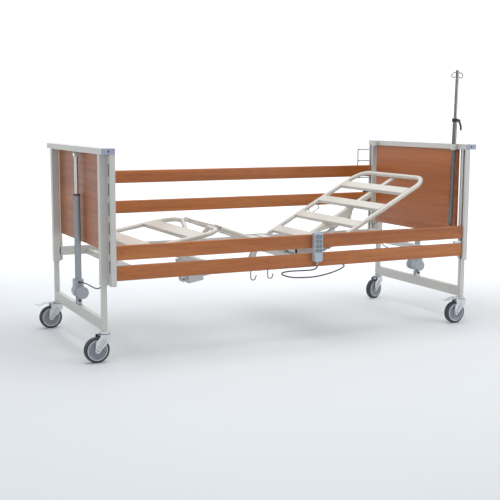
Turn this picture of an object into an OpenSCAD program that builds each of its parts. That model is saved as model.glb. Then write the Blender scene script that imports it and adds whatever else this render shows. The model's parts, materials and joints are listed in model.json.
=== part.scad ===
// Adjustable care bed: two telescopic end frames, a four-section steel deck, wooden side rails and casters.
// Foot end at -X, head end at +X, near side at -Y, floor at z = 0. The deck is drawn at its half-raised height,
// with the backrest and the knee part way up, the near rails lowered and the far rails raised.

/* [Overall] */
// Length over the two end rails
bed_l = 2193; // [2120:1:2650]
// Width over the end-rail caps
bed_w = 990; // [900:1:1200]
// Height to the top of the end rails
end_h = 1032; // [980:1:1240]
// Height of the deck hinges
deck_z = 467; // [460:1:500]

/* [End frames] */
// Side of the square posts
post_w = 34; // [30:1:38]
// Side of the square legs that slide in the posts
leg_w = 25; // [20:1:27]
// Wall of every square tube
tube_wall = 2; // [1.5:0.1:3]
// Depth of the end rail along the bed
end_rail_d = 66; // [60:1:80]
// Height of the end rail
end_rail_h = 29; // [24:1:36]
// Height of the posts' lower ends
post_z = 376; // [372:1:390]
// Height of the legs' lower ends, above the casters
leg_z = 154; // [150:1:160]
// Height of the bar between two legs
leg_bar_h = 55; // [40:1:56]
// Thickness of the wooden end panels
panel_t = 16; // [12:1:18]
// Height of the foot panel's lower edge
foot_panel_z = 535; // [512:1:600]
// Height of the head panel's lower edge
head_panel_z = 508; // [506:1:600]
// Depth of the rail tracks along the bed
track_d = 27; // [24:1:30]
// Width of the rail tracks across the bed
track_w = 42; // [38:1:46]

/* [Lifting columns] */
// Diameter of the outer tubes
lift_tube_d = 34; // [30:1:36]
// Diameter of the rods
lift_rod_d = 20; // [16:1:22]
// How far the deck can be lowered
lift_down = 160; // [100:1:160]
// How far the deck can be raised
lift_up = 240; // [150:1:250]

/* [Chassis] */
// Width of the long side tubes
beam_w = 30; // [25:1:30]
// Height of the long side tubes
beam_h = 48; // [40:1:50]
// Side of the cross tubes
cross_w = 30; // [25:1:32]

/* [Deck] */
// Diameter of the bent deck tubes
deck_tube_d = 26; // [20:1:28]
// Length of the fixed seat section between the two hinges
seat_l = 200; // [190:1:240]
// Length of the backrest
back_l = 783; // [700:1:790]
// Length of the thigh section
thigh_l = 408; // [380:1:410]
// Length of the calf section
calf_l = 590; // [500:1:595]
// Backrest angle as drawn
back_a = 28.5; // [10:0.5:40]
// Thigh angle as drawn
thigh_a = 19.5; // [5:0.5:30]
// Calf angle below the horizontal as drawn
calf_a = 10; // [0:0.5:12]
// Width of a deck slat
slat_w = 56; // [40:1:60]
// Width of a calf slat
calf_slat_w = 90; // [60:1:100]
// Corner radius of the backrest tube
back_r = 100; // [60:1:120]
// Diameter of the hinge pins
pin_d = 12; // [8:1:14]

/* [Side rails] */
// Height of a rail board
board_h = 73; // [60:1:76]
// Thickness of a rail board
board_t = 22; // [16:1:24]
// Height of the upper rail's top edge when lowered
rail_top_z = 572; // [566:1:580]
// Height of the lower rail's top edge when lowered
rail_low_z = 473; // [468:1:480]
// Travel of the upper rail
rail_lift = 300; // [200:1:310]
// Travel of the lower rail as a share of the upper rail's
rail_share = 0.75; // [0.5:0.05:0.8]

/* [Casters] */
// Diameter of a wheel
wheel_d = 125; // [100:1:126]
// Width of a wheel
wheel_w = 32; // [24:1:34]
// Distance that the wheels trail behind their swivels
trail = 40; // [30:1:45]
// Diameter of the ball-race cups
cup_d = 52; // [46:1:56]
// Angle of the far head caster
turned_a = 18; // [0:1:30]

/* [Accessories] */
// Diameter of the lower pole tube
pole_tube_d = 25; // [22:1:28]
// Diameter of the upper pole rod
pole_rod_d = 18; // [14:1:19]
// Lean of the pole towards the head end
pole_lean = 1.2; // [0:0.1:2]
// Width of the hand control
handset_w = 48; // [44:1:70]
// Height of the hand control
handset_h = 158; // [140:1:180]
// Thickness of the hand control
handset_t = 27; // [22:1:34]
// Diameter of the hand-control cord
cord_d = 7; // [5:0.5:8]
// Diameter of a motor lead
lead_d = 6; // [5:0.5:7]

/* [Hidden] */
$fn = 48;
weld = 0.2;                                   // hairline between welded tubes, so each stays a body of its own
fit = 0.05;                                   // radial play of a pin in its bore
slide_gap = 0.5;                              // play on each side of a sliding tube or block

end_x = bed_l / 2;                            // outer face of an end rail
rail_in_x = end_x - end_rail_d;               // inner face of an end rail
rail_mid_x = end_x - end_rail_d / 2;
post_x = end_x - 4.5 - post_w / 2;            // post, leg and swivel axis
post_in_x = post_x - post_w / 2;
end_rail_z = end_h - end_rail_h;              // underside of an end rail
cap_t = 4;
board_y = bed_w / 2 - 11 - board_t / 2;       // middle of the rail boards
track_y = board_y;
post_y = track_y - track_w / 2 - 8 - post_w / 2;
beam_y = post_y - 12;                         // middle of the long side tubes
beam_z = deck_z - 55;                         // underside of the chassis
leg_top = end_rail_z - lift_down - 3;         // the legs stop short of the end rail when lowered
bar_z = leg_z + 1;
lift_pin_z = bar_z + leg_bar_h + 20;          // lower pin of a lifting column
lift_top_pin_z = end_rail_z - 17;
motor_z = lift_pin_z + 22;
motor_h = 90;
motor_can_d = 64;
lift_tube_z = motor_z + motor_h;
lift_tube_top = lift_top_pin_z - lift_down - 42;
lift_bore_d = lift_rod_d + 2 * slide_gap;
lug_t = 5;
eye_w = 20;
eye_r = 14;

deck_y = beam_y - beam_w / 2 - 40;            // outer half-width of the deck
deck_tube_y = deck_y - deck_tube_d / 2;
seat_x0 = 0;
seat_x1 = seat_l;
seat_slat_x = 62;
knee_y = 216;                                 // thigh tubes and knee hinges
thigh_tube_d = 25;
slat_h = 20;
slat_wall = 2;
hinge_gap = 24;                               // tubes stop this far from a hinge axis
lug_gap = 1.5;
lug_r = 13;
spine_w = 35;
spine_h = 22;
spine_w0 = 1 - slat_h / 2 - weld;             // top of the backrest's spine, just below its slats
back_lever_u = 376;
back_lever_w = -62;
back_tail = [seat_x1 + 15, deck_z - 102];     // tail pin of the backrest actuator
thigh_lever = [-75, -95];                     // from the thigh hinge, as drawn
thigh_tail = [-490, 300];
act_body_l = 86;
act_body_s = 24;
act_half = 30;
act_tube_d = 30;
act_rod_d = 18;
front_cross_x = 45;
rear_cross_x = 125;
end_cross_x = end_x - 200;

cup_h = 14;
cup_z = leg_z - cup_h - weld;
fork_t = 3;
fork_front = 24;
rack_d = 6;
fork_top = cup_z - 0.4;
fork_y = wheel_w / 2 + 3;
king_d = 12;
axle_d = 10;
wheel_z = wheel_d / 2;
pedal_reach = 127;
pedal_pin_d = 6;
pedal_pin = [-35, fork_top + 5];

pole_y = -400;
pole_x = rail_in_x - 17;
pole_z = 568;
pole_tube_l = 604;
pole_rod_z = 800;
pole_top_z = 1446;
socket_wall = 4;
handset_x = 68;
handset_z = 429;
handset_y = -(board_y + board_t / 2 + 2.5);   // back face of the hand control
key_w = handset_w - 14;
key_h = 14;
key_pitch = 24;
key_dip = 2.6;
key_rise = 1.2;                               // how far a key stands out of the face
spare_socket_y = -pole_y;

x_min = -(post_x + pedal_reach);
x_max = post_x + fork_front * cos(turned_a) + (fork_y + fork_t) * sin(turned_a);
y_min = handset_y - handset_t - key_rise;
y_max = track_y + track_w / 2 + rack_d + 0.5;
mid_x = (x_min + x_max) / 2;
mid_y = (y_min + y_max) / 2;

steel = [0.79, 0.79, 0.77];
cream = [0.88, 0.86, 0.83];
wood = [0.66, 0.42, 0.27];
zinc = [0.72, 0.77, 0.8];
chrome = [0.85, 0.87, 0.89];
blue_grey = [0.65, 0.68, 0.74];
motor_grey = [0.56, 0.58, 0.62];
dark = [0.2, 0.21, 0.23];
tyre_grey = [0.24, 0.26, 0.29];

// Cord routes, in the drawn pose: points chosen by hand.
handset_route = [[68, -499, 428], [68, -499, 412], [65, -498, 398], [54, -494, 389], [34, -489, 385],
    [4, -484, 384], [-36, -478, 384], [-76, -468, 383], [-104, -454, 378], [-112, -440, 370],
    [-100, -430, 360], [-76, -424, 350], [-40, -420, 341], [0, -418, 336], [40, -416, 334],
    [80, -416, 333], [120, -415, 335], [162, -413, 340], [204, -411, 347], [246, -408, 357],
    [280, -402, 367], [301, -390, 374], [309, -374, 378], [309, -362, 381.5], [308, -356, 385.6],
    [308, -356, 389.6]];
foot_lead_route = [[-1077, -28.4, 328], [-1077, -45, 330], [-1077, -66, 333], [-1077, -95, 336],
    [-1077, -140, 339], [-1077, -165, 340], [-1077, -190, 340], [-1077, -240, 339.5],
    [-1077, -265, 339.5], [-1077, -290, 340.5], [-1077, -335, 345], [-1077, -370, 354],
    [-1077, -390, 366], [-1077, -402, 379], [-1077, -406.6, 394]];
head_lead_route = [[1077, 28.4, 328], [1077, 45, 330], [1077, 66, 333], [1077, 95, 336],
    [1077, 140, 339], [1077, 165, 340], [1077, 190, 340], [1077, 240, 339.5], [1077, 265, 339.5],
    [1077, 290, 340.5], [1077, 335, 345], [1077, 370, 354], [1077, 390, 366], [1077, 402, 379],
    [1077, 406.6, 394]];

// ---- helpers ----

// Puts the bed's own middle over the origin.
module bed() translate([-mid_x, -mid_y, 0]) children();

// The foot end is the head end turned half round, or mirrored.
module foot_turned() rotate([0, 0, 180]) children();
module foot_mirrored() mirror([1, 0, 0]) children();
module both_sides() {
    children();
    mirror([0, 1, 0]) children();
}
module both_ends() {
    children();
    mirror([1, 0, 0]) children();
}
module block(a, b) translate(a) cube(b - a);
module rrect(w, h, r) {
    square([w - 2 * r, h], center = true);
    square([w, h - 2 * r], center = true);
    for (x = [-1, 1], y = [-1, 1])
        translate([x * (w / 2 - r), y * (h / 2 - r)]) circle(r);
}
// Upright square tube standing on z = 0
module square_tube(w, wall, l) linear_extrude(l) difference() {
    square(w, center = true);
    square(w - 2 * wall, center = true);
}
// Rectangular tube across the bed, centred on y = 0
module cross_tube(x, z, w, h, l, wall) translate([x, -l / 2, z]) rotate([-90, 0, 0]) linear_extrude(l)
    difference() {
        translate([0, -h / 2]) square([w, h], center = true);
        translate([0, -h / 2]) square([w - 2 * wall, h - 2 * wall], center = true);
    }
// Round bar across the bed from y0 to y1
module pin_y(x, z, d, y0, y1) translate([x, y0, z]) rotate([-90, 0, 0]) cylinder(d = d, h = y1 - y0);
// Flat plate standing along the bed: an outline in x and z, from y0 to y1
module plate_y(y0, y1) translate([0, y1, 0]) rotate([90, 0, 0]) linear_extrude(y1 - y0) children();
// Bend in the plane of a deck section: centre [u, v], radius r, from angle a0 over a1 degrees
module bend(c, r, d, a0, a1) translate([c[0], c[1], 0]) rotate([0, 0, a0]) rotate_extrude(angle = a1)
    translate([r, 0]) difference() {
        circle(d = d);
        circle(d = d - 2 * tube_wall);
    }
// Straight round bar between two points, or a tube if it has a wall
module run(p, q, d, wall = 0) {
    len = norm(q - p);
    dir = (q - p) / len;
    translate(p) rotate([0, acos(dir[2]), atan2(dir[1], dir[0])]) difference() {
        cylinder(d = d, h = len);
        if (wall > 0) translate([0, 0, -1]) cylinder(d = d - 2 * wall, h = len + 2);
    }
}
// Sweeps a round cord along a list of points as one closed polyhedron.
function cord_tangent(p, i) = let (a = p[max(i - 1, 0)], b = p[min(i + 1, len(p) - 1)]) (b - a) / norm(b - a);
function cord_side(t) = let (s = abs(t[2]) < 0.9 ? cross(t, [0, 0, 1]) : cross(t, [1, 0, 0])) s / norm(s);
function cord_ring(c, t, side, r, n) = let (up = cross(side, t))
    [for (k = [0:n - 1]) c + r * (cos(360 * k / n) * side + sin(360 * k / n) * up)];
function carry(side, t) = let (s = side - (side * t) * t) s / norm(s);
function cord_sides(p, i = 0, sides = []) = i == len(p) ? sides
    : let (t = cord_tangent(p, i), s = i == 0 ? cord_side(t) : carry(sides[i - 1], t))
        cord_sides(p, i + 1, concat(sides, [s]));
module cord(p, d, n = 8) {
    sides = cord_sides(p);
    rings = [for (i = [0:len(p) - 1]) cord_ring(p[i], cord_tangent(p, i), sides[i], d / 2, n)];
    points = [for (ring = rings) each ring];
    m = len(p);
    walls = [for (i = [0:m - 2], k = [0:n - 1]) [i * n + k, i * n + (k + 1) % n, (i + 1) * n + (k + 1) % n,
        (i + 1) * n + k]];
    first = [for (k = [n - 1:-1:0]) k];
    last = [for (k = [0:n - 1]) (m - 1) * n + k];
    polyhedron(points, concat(walls, [first, last]));
}

// ---- end frames ----

module leg_frame() {
    inner = post_y - leg_w / 2 - weld;
    both_sides() {
        translate([post_x, post_y, leg_z]) square_tube(leg_w, tube_wall, leg_top - leg_z);
        translate([post_x, post_y, 0]) caster_stem();
        translate([post_x, post_y, leg_top - 40]) linear_extrude(30)
            square_ring(post_w - 2 * tube_wall - 2 * slide_gap, leg_w + 2 * weld);
    }
    cross_tube(post_x, bar_z, leg_w, leg_bar_h, 2 * inner, tube_wall);
    for (y = [-eye_w / 2 - lug_gap - lug_t, eye_w / 2 + lug_gap])
        plate_y(y, y + lug_t) lift_lug(lift_pin_z, bar_z + leg_bar_h + weld);
    pin_y(post_x, lift_pin_z, pin_d, -eye_w / 2 - lug_gap - lug_t - 4, eye_w / 2 + lug_gap + lug_t + 4);
}
module square_ring(outer, inner) difference() {
    square(outer, center = true);
    square(inner, center = true);
}
// Lug outline with its bore, from the edge of a tube to the pin
module lift_lug(pin_z, edge_z) difference() {
    union() {
        translate([post_x, pin_z]) circle(r = eye_r - 1);
        translate([post_x - eye_r + 1, min(pin_z, edge_z)]) square([2 * eye_r - 2, abs(edge_z - pin_z)]);
    }
    translate([post_x, pin_z]) circle(d = pin_d + 2 * fit);
}
module caster_stem() {
    translate([0, 0, cup_z]) cylinder(d = cup_d - 4, h = cup_h - 4);
    translate([0, 0, cup_z + cup_h - 4]) cylinder(d1 = cup_d - 4, d2 = leg_w + 4, h = 4);
    translate([0, 0, fork_top - 14]) cylinder(d = king_d, h = 20);
    translate([0, 0, fork_top - 18]) cylinder(d = 22, h = 4);
}
module foot_leg_frame() color(steel) bed() foot_turned() leg_frame();
module head_leg_frame() color(steel) bed() leg_frame();

module track_profile() {
    x1 = post_in_x - weld;
    x0 = x1 - track_d;
    wall = 2.5;
    slot = 14;
    difference() {
        translate([x0, track_y - track_w / 2]) square([track_d, track_w]);
        translate([x0 + wall, track_y - track_w / 2 + wall]) square([track_d - 2 * wall, track_w - 2 * wall]);
        translate([x0 - 1, track_y - slot / 2]) square([wall + 2, slot]);
    }
    translate([x1 - wall, post_y - post_w / 2 + 2]) square([wall, track_y - track_w / 2 - post_y + post_w / 2 - 1]);
}
module end_frame() {
    rail_l = bed_w - 2 * cap_t - 2 * weld;
    both_sides() {
        translate([post_x, post_y, post_z]) square_tube(post_w, tube_wall, end_rail_z - post_z - weld);
        translate([post_x, post_y, post_z + 2]) linear_extrude(30)
            square_ring(post_w - 2 * tube_wall - 2 * weld, leg_w + 2 * slide_gap);
        translate([0, 0, post_z + 4]) linear_extrude(end_rail_z - post_z - 4 - weld) track_profile();
        translate([post_in_x - track_d / 2 - weld, track_y, post_z]) linear_extrude(4 - weld)
            rrect(track_d, track_w, 3);
    }
    cross_tube(rail_mid_x, end_rail_z, end_rail_d, end_rail_h, rail_l, tube_wall);
    for (y = [-eye_w / 2 - lug_gap - lug_t, eye_w / 2 + lug_gap])
        plate_y(y, y + lug_t) lift_lug(lift_top_pin_z, end_rail_z - weld);
    pin_y(post_x, lift_top_pin_z, pin_d, -eye_w / 2 - lug_gap - lug_t - 4, eye_w / 2 + lug_gap + lug_t + 4);
}
// Ring on the inner face of the head rail that holds an infusion pole
module pole_socket(y) pole_axis(y) translate([0, 0, -16]) difference() {
    union() {
        cylinder(d = pole_tube_d + 2 * socket_wall, h = 32);
        block([8, -9, 4], [17 - weld - 0.6, 9, 28]);
    }
    translate([0, 0, -1]) cylinder(d = pole_tube_d + 4 * fit, h = 34);
}
// Frame of the pole: origin at its socket, axis up
module pole_axis(y) translate([pole_x, y, end_rail_z + 12]) rotate([0, pole_lean, 0]) children();
module foot_end_frame() color(steel) bed() foot_turned() end_frame();
module head_end_frame() color(steel) bed() {
    end_frame();
    for (y = [pole_y, spare_socket_y]) pole_socket(y);
}

module panel(z) {
    half = post_y - post_w / 2 + 1;
    x1 = post_in_x - 8;
    plate_x(x1 - panel_t, x1) polygon([[-half, z], [half, z], [half, end_rail_z - 1], [-half, end_rail_z - 1]]);
}
// Flat plate standing across the bed: an outline in y and z, from x0 to x1
module plate_x(x0, x1) translate([x0, 0, 0]) rotate([90, 0, 90]) linear_extrude(x1 - x0) children();
module foot_panel() color(wood) bed() foot_mirrored() panel(foot_panel_z);
module head_panel() color(wood) bed() panel(head_panel_z);

button_d = 9;
module end_cap() {
    gap = 0.3;
    difference() {
        union() {
            block([rail_in_x, bed_w / 2 - cap_t, end_rail_z], [end_x, bed_w / 2, end_h]);
            block([rail_in_x + tube_wall + gap, bed_w / 2 - cap_t - 14, end_rail_z + tube_wall + gap],
                [end_x - tube_wall - gap, bed_w / 2 - cap_t, end_h - tube_wall - gap]);
        }
        pin_y(rail_mid_x, end_h - end_rail_h / 2, button_d + 4 * fit, bed_w / 2 - 40, bed_w / 2 + 1);
        pin_y(rail_mid_x, end_h - end_rail_h / 2, button_d + 5, bed_w / 2 - 40, bed_w / 2 - 12);
    }
}
module end_caps() color(blue_grey) bed() both_ends() both_sides() end_cap();
module release_button() {
    z = end_h - end_rail_h / 2;
    pin_y(rail_mid_x, z, button_d, bed_w / 2 - 14, bed_w / 2 + 1.5);
    pin_y(rail_mid_x, z, button_d + 4, bed_w / 2 - 16, bed_w / 2 - 12.2);
}
module button_foot_near() color(dark) bed() mirror([1, 0, 0]) mirror([0, 1, 0]) release_button();
module button_foot_far() color(dark) bed() mirror([1, 0, 0]) release_button();
module button_head_near() color(dark) bed() mirror([0, 1, 0]) release_button();
module button_head_far() color(dark) bed() release_button();

// ---- lifting columns ----

module lift_motor() {
    difference() {
        union() {
            translate([post_x + 2, 0, motor_z + 4]) linear_extrude(motor_h - 4) rrect(48, 56, 10);
            pin_y(post_x - 4, motor_z + 25, motor_can_d, -62, 40);
            pin_y(post_x, lift_pin_z, 2 * eye_r, -eye_w / 2, eye_w / 2);
            block([post_x - eye_r, -eye_w / 2, lift_pin_z], [post_x + eye_r, eye_w / 2, motor_z + 1]);
        }
        pin_y(post_x, lift_pin_z, pin_d + 2 * fit, -eye_w, eye_w);
    }
}
module lift_tube() translate([post_x, 0, lift_tube_z + weld]) difference() {
    cylinder(d = lift_tube_d, h = lift_tube_top - lift_tube_z);
    translate([0, 0, -1]) cylinder(d = lift_bore_d, h = lift_tube_top - lift_tube_z + 2);
}
module lift_rod() {
    z0 = lift_tube_z + lift_down + 18;
    difference() {
        union() {
            translate([post_x, 0, z0]) cylinder(d = lift_rod_d, h = lift_top_pin_z - z0 - 6);
            pin_y(post_x, lift_top_pin_z, 2 * eye_r - 2, -eye_w / 2, eye_w / 2);
        }
        pin_y(post_x, lift_top_pin_z, pin_d + 2 * fit, -eye_w, eye_w);
    }
}
module foot_lift_motor() color(motor_grey) bed() foot_turned() mirror([0, 1, 0]) lift_motor();
module head_lift_motor() color(motor_grey) bed() mirror([0, 1, 0]) lift_motor();
module foot_lift_tube() color(blue_grey) bed() foot_turned() lift_tube();
module head_lift_tube() color(blue_grey) bed() lift_tube();
module foot_lift_rod() color(chrome) bed() foot_turned() lift_rod();
module head_lift_rod() color(chrome) bed() lift_rod();

// ---- chassis and seat ----

module chassis_frame() color(steel) bed() {
    beam_end = post_in_x - 3;
    cross_l = 2 * (beam_y - beam_w / 2 - weld);
    both_sides() translate([-beam_end, beam_y, beam_z + beam_h / 2]) rotate([0, 90, 0])
        linear_extrude(2 * beam_end) difference() {
            square([beam_h, beam_w], center = true);
            square([beam_h - 2 * tube_wall, beam_w - 2 * tube_wall], center = true);
        }
    for (x = [-end_cross_x, thigh_tail[0], front_cross_x, rear_cross_x, end_cross_x])
        cross_tube(x, beam_z, cross_w, cross_w, cross_l, tube_wall);
    seat();
    // bracket of the thigh actuator
    for (y = [-eye_w / 2 - lug_gap - lug_t, eye_w / 2 + lug_gap]) {
        plate_y(y, y + lug_t) difference() {
            union() {
                polygon([[thigh_tail[0] - 38, beam_z - weld], [thigh_tail[0] + 15, beam_z - weld],
                    [thigh_tail[0] + 10, thigh_tail[1] - 2], [thigh_tail[0] - 15, thigh_tail[1] - 2]]);
                translate(thigh_tail) circle(16);
            }
            translate(thigh_tail) circle(d = pin_d + 2 * fit);
        }
        plate_y(y, y + lug_t) difference() {
            union() {
                polygon([[rear_cross_x - 13, beam_z - weld], [rear_cross_x + 15, beam_z - weld],
                    [back_tail[0] + 13, back_tail[1] + 6], [back_tail[0] - 3, back_tail[1] - 13]]);
                translate(back_tail) circle(14);
            }
            translate(back_tail) circle(d = pin_d + 2 * fit);
        }
    }
}
// Fixed seat section: side tubes on stands, hinge plates for the backrest and thigh, and two slats
module seat() {
    side_l = seat_l - 2 * hinge_gap;
    stand_h = deck_z - deck_tube_d / 2 - beam_z - cross_w - 2 * weld;
    both_sides() {
        translate([seat_x0 + hinge_gap, deck_tube_y, deck_z]) rotate([0, 90, 0])
            linear_extrude(side_l) square_ring(deck_tube_d, deck_tube_d - 2 * tube_wall);
        for (x = [front_cross_x, rear_cross_x])
            block([x - 12, deck_tube_y - 10, beam_z + cross_w + weld],
                [x + 12, deck_tube_y + 10, beam_z + cross_w + weld + stand_h]);
        hinge_plate(seat_x1, -1, deck_tube_y - deck_tube_d / 2 - weld);
        mirror([1, 0, 0]) hinge_arm();
    }
    for (x = [seat_slat_x, seat_l - seat_slat_x]) deck_slat(x, deck_z, slat_w, deck_tube_y - deck_tube_d / 2 - lug_t - 2 * weld);
}
// Plate beside the seat tube that carries the backrest hinge
module hinge_plate(x, dir, y) plate_y(y - lug_t, y) difference() {
    union() {
        translate([x, deck_z]) circle(lug_r);
        translate([min(x, x + dir * 60), deck_z - lug_r]) square([60, 2 * lug_r]);
    }
    translate([x, deck_z]) circle(d = pin_d + 2 * fit);
}
// Arm from the front cross tube to the thigh hinge, drawn for a section that points to +X
module hinge_arm() {
    y = knee_y - thigh_tube_d / 2 - weld - lug_gap;
    slat_edge = seat_slat_x - slat_w / 2 - weld;
    slat_under = deck_z - slat_h / 2 - weld;
    plate_y(y - lug_t, y) difference() {
        union() {
            translate([0, deck_z]) circle(lug_r);
            polygon([[0, deck_z + lug_r], [-slat_edge, deck_z + lug_r], [-slat_edge, slat_under],
                [-front_cross_x - cross_w / 2, slat_under],
                [-front_cross_x - cross_w / 2, beam_z + cross_w + weld],
                [-front_cross_x + cross_w / 2, beam_z + cross_w + weld], [-6, deck_z - lug_r + 2]]);
        }
        translate([0, deck_z]) circle(d = pin_d + 2 * fit);
    }
}
// Pressed channel across the deck, open underneath
module deck_slat(x, z, w, half) translate([x, half, z]) rotate([90, 0, 0]) linear_extrude(2 * half)
    slat_profile(w);
module slat_profile(w) polygon([[-w / 2, -slat_h / 2], [-w / 2, slat_h / 2], [w / 2, slat_h / 2],
    [w / 2, -slat_h / 2], [w / 2 - slat_wall, -slat_h / 2], [w / 2 - slat_wall, slat_h / 2 - slat_wall],
    [-w / 2 + slat_wall, slat_h / 2 - slat_wall], [-w / 2 + slat_wall, -slat_h / 2]]);

back_lug_y = deck_tube_y - deck_tube_d / 2 + lug_gap;
thigh_lug_y = knee_y - thigh_tube_d / 2 - weld;
module deck_pins() color(zinc) bed() both_sides() {
    hinge_pin(seat_x1, deck_z, deck_tube_y - deck_tube_d / 2 - weld - lug_t, back_lug_y + lug_t);
    hinge_pin(seat_x0, deck_z, thigh_lug_y - lug_gap - lug_t, thigh_lug_y + lug_t);
}
// Pin across two plates that span y0 to y1, with a head on each side
module hinge_pin(x, z, y0, y1) {
    pin_y(x, z, pin_d, y0 - 0.3, y1 + 0.3);
    pin_y(x, z, pin_d + 8, y0 - 4, y0 - 0.3);
    pin_y(x, z, pin_d + 8, y1 + 0.3, y1 + 4);
}

// ---- moving deck sections, drawn flat along +X from their hinge, then tilted ----

module at_hinge(x, z, a) translate([x, 0, z]) rotate([0, -a, 0]) children();
module section_lug(y, l) plate_y(y, y + lug_t) difference() {
    union() {
        circle(lug_r);
        translate([0, -lug_r + 1]) square([l, 2 * lug_r - 2]);
    }
    circle(d = pin_d + 2 * fit);
}

module backrest_frame() color(cream) bed() at_hinge(seat_x1, deck_z, back_a) {
    top_u = back_l - deck_tube_d / 2;
    bend_y = deck_tube_y - back_r;
    both_sides() {
        run([hinge_gap, deck_tube_y, 0], [top_u - back_r - weld, deck_tube_y, 0], deck_tube_d, tube_wall);
        bend([top_u - back_r, bend_y], back_r, deck_tube_d, 0, 90);
        section_lug(back_lug_y, hinge_gap + 20);
    }
    run([top_u, -bend_y + weld, 0], [top_u, bend_y - weld, 0], deck_tube_d, tube_wall);
    for (u = [75, 255, 437, 618]) deck_slat(u, 1, slat_w, deck_tube_y - deck_tube_d / 2 - weld);
    spine_end = end_cross_x - cross_w / 2 - seat_x1 - 12;
    translate([45, 0, spine_w0 - spine_h / 2]) rotate([0, 90, 0])
        linear_extrude(spine_end - 45) difference() {
            square([spine_h, spine_w], center = true);
            square([spine_h - 2 * tube_wall, spine_w - 2 * tube_wall], center = true);
        }
    block([spine_end + weld, -spine_w / 2, spine_w0 - 13], [top_u, spine_w / 2, spine_w0 - 4]);
    for (y = [-eye_w / 2 - lug_gap - 2 - lug_t, eye_w / 2 + lug_gap + 2])
        plate_y(y, y + lug_t) back_lever();
    both_sides() plate_y(spine_w / 2 + weld, spine_w / 2 + 5) polygon([[160, spine_w0 - 17], [180, spine_w0 - 3],
        [back_lever_u - 14, back_lever_w - 2], [back_lever_u - 22, back_lever_w - 18]]);
}
module back_lever() difference() {
    union() {
        polygon([[back_lever_u - 65, spine_w0 - spine_h - weld], [back_lever_u + 50, spine_w0 - spine_h - weld],
            [back_lever_u + 17, back_lever_w - 4], [back_lever_u - 17, back_lever_w - 4]]);
        translate([back_lever_u, back_lever_w]) circle(18);
    }
    translate([back_lever_u, back_lever_w]) circle(d = pin_d + 2 * fit);
}
wire_d = 5;
module mattress_loops() color(zinc) bed() at_hinge(seat_x1, deck_z, back_a) both_sides() {
    z = -deck_tube_d / 2 - 28;
    for (u = [330, 400])
        translate([u, deck_tube_y, z]) cylinder(d = wire_d, h = 28 - weld);
    run([330 - wire_d / 2, deck_tube_y, z - wire_d / 2 - weld], [400 + wire_d / 2, deck_tube_y, z - wire_d / 2 - weld], wire_d);
}

module thigh_frame() color(cream) bed() translate([seat_x0, 0, deck_z]) {
    mirror([1, 0, 0]) rotate([0, -thigh_a, 0]) {
        both_sides() {
            run([hinge_gap, knee_y, 0], [thigh_l - hinge_gap, knee_y, 0], thigh_tube_d, tube_wall);
            section_lug(thigh_lug_y, hinge_gap + 16);
            translate([thigh_l, 0, 0]) mirror([1, 0, 0]) section_lug(thigh_lug_y, hinge_gap + 16);
        }
        for (u = [130, 352]) deck_slat(u, 1, slat_w, thigh_lug_y - 1);
        run([42, -thigh_lug_y + 1, -2], [42, thigh_lug_y - 1, -2], thigh_tube_d - 5);
    }
    for (y = [-eye_w / 2 - lug_gap - 2 - lug_t, eye_w / 2 + lug_gap + 2])
        plate_y(y, y + lug_t) difference() {
            union() {
                polygon([thigh_root + [-10, -11], thigh_root + [14, -7], thigh_lever + [15, 2], thigh_lever + [-15, 2]]);
                translate(thigh_lever) circle(16);
            }
            translate(thigh_lever) circle(d = pin_d + 2 * fit);
        }
}
thigh_root = 42 * [-cos(thigh_a), sin(thigh_a)] + -2 * [sin(thigh_a), cos(thigh_a)];
knee_x = seat_x0 - thigh_l * cos(thigh_a);
knee_z = deck_z + thigh_l * sin(thigh_a);
calf_lug_y = thigh_lug_y - lug_gap - lug_t;
module knee_pins() color(zinc) bed() both_sides()
    hinge_pin(knee_x, knee_z, calf_lug_y, thigh_lug_y + lug_t);

// Bent calf frame: side tubes that curve in to the knee hinges and dip between them
module calf_frame() color(cream) bed() translate([knee_x, 0, knee_z]) mirror([1, 0, 0])
    rotate([0, calf_a, 0]) {
        r = 105;
        turn_u = 30;
        elbow_high = [turn_u, calf_lug_y - 14, 0];
        elbow_low = [turn_u + 20, 95, -55];
        both_sides() {
            run([r + turn_u + weld, deck_tube_y, 0], [calf_l, deck_tube_y, 0], deck_tube_d, tube_wall);
            bend([r + turn_u, deck_tube_y - r], r, deck_tube_d, 90, 90);
            run([turn_u, deck_tube_y - r - weld, 0], elbow_high, deck_tube_d);
            translate(elbow_high) sphere(d = deck_tube_d + 1);
            run(elbow_high, elbow_low, deck_tube_d - 1);
            translate(elbow_low) sphere(d = deck_tube_d + 1);
            section_lug(calf_lug_y, hinge_gap);
        }
        run([elbow_low[0], -elbow_low[1], elbow_low[2]], elbow_low, deck_tube_d);
        for (u = [170, 440]) deck_slat(u, 1, calf_slat_w, deck_tube_y - deck_tube_d / 2 - weld);
    }

// ---- deck actuators ----

// Frame of an actuator: origin at its tail pin, +X towards its rod end
module along(tail, tip) translate([tail[0], 0, tail[1]])
    rotate([0, -atan2(tip[1] - tail[1], tip[0] - tail[0]), 0]) children();
module actuator_body(tube_end) {
    difference() {
        union() {
            pin_y(0, 0, 2 * eye_r, -eye_w / 2, eye_w / 2);
            block([0, -eye_w / 2, -eye_r + 2], [act_body_s + 1, eye_w / 2, eye_r - 2]);
            translate([act_body_s, 0, 0]) rotate([0, 90, 0]) linear_extrude(act_body_l)
                rrect(2 * act_half, 2 * act_half, 12);
            translate([act_body_s + act_body_l - 1, 0, 0]) rotate([0, 90, 0])
                cylinder(d = act_tube_d, h = tube_end - act_body_s - act_body_l + 1);
        }
        pin_y(0, 0, pin_d + 2 * fit, -eye_w, eye_w);
        translate([act_body_s + act_body_l, 0, 0]) rotate([0, 90, 0]) cylinder(d = act_rod_d + 1, h = 600);
    }
}
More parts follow.
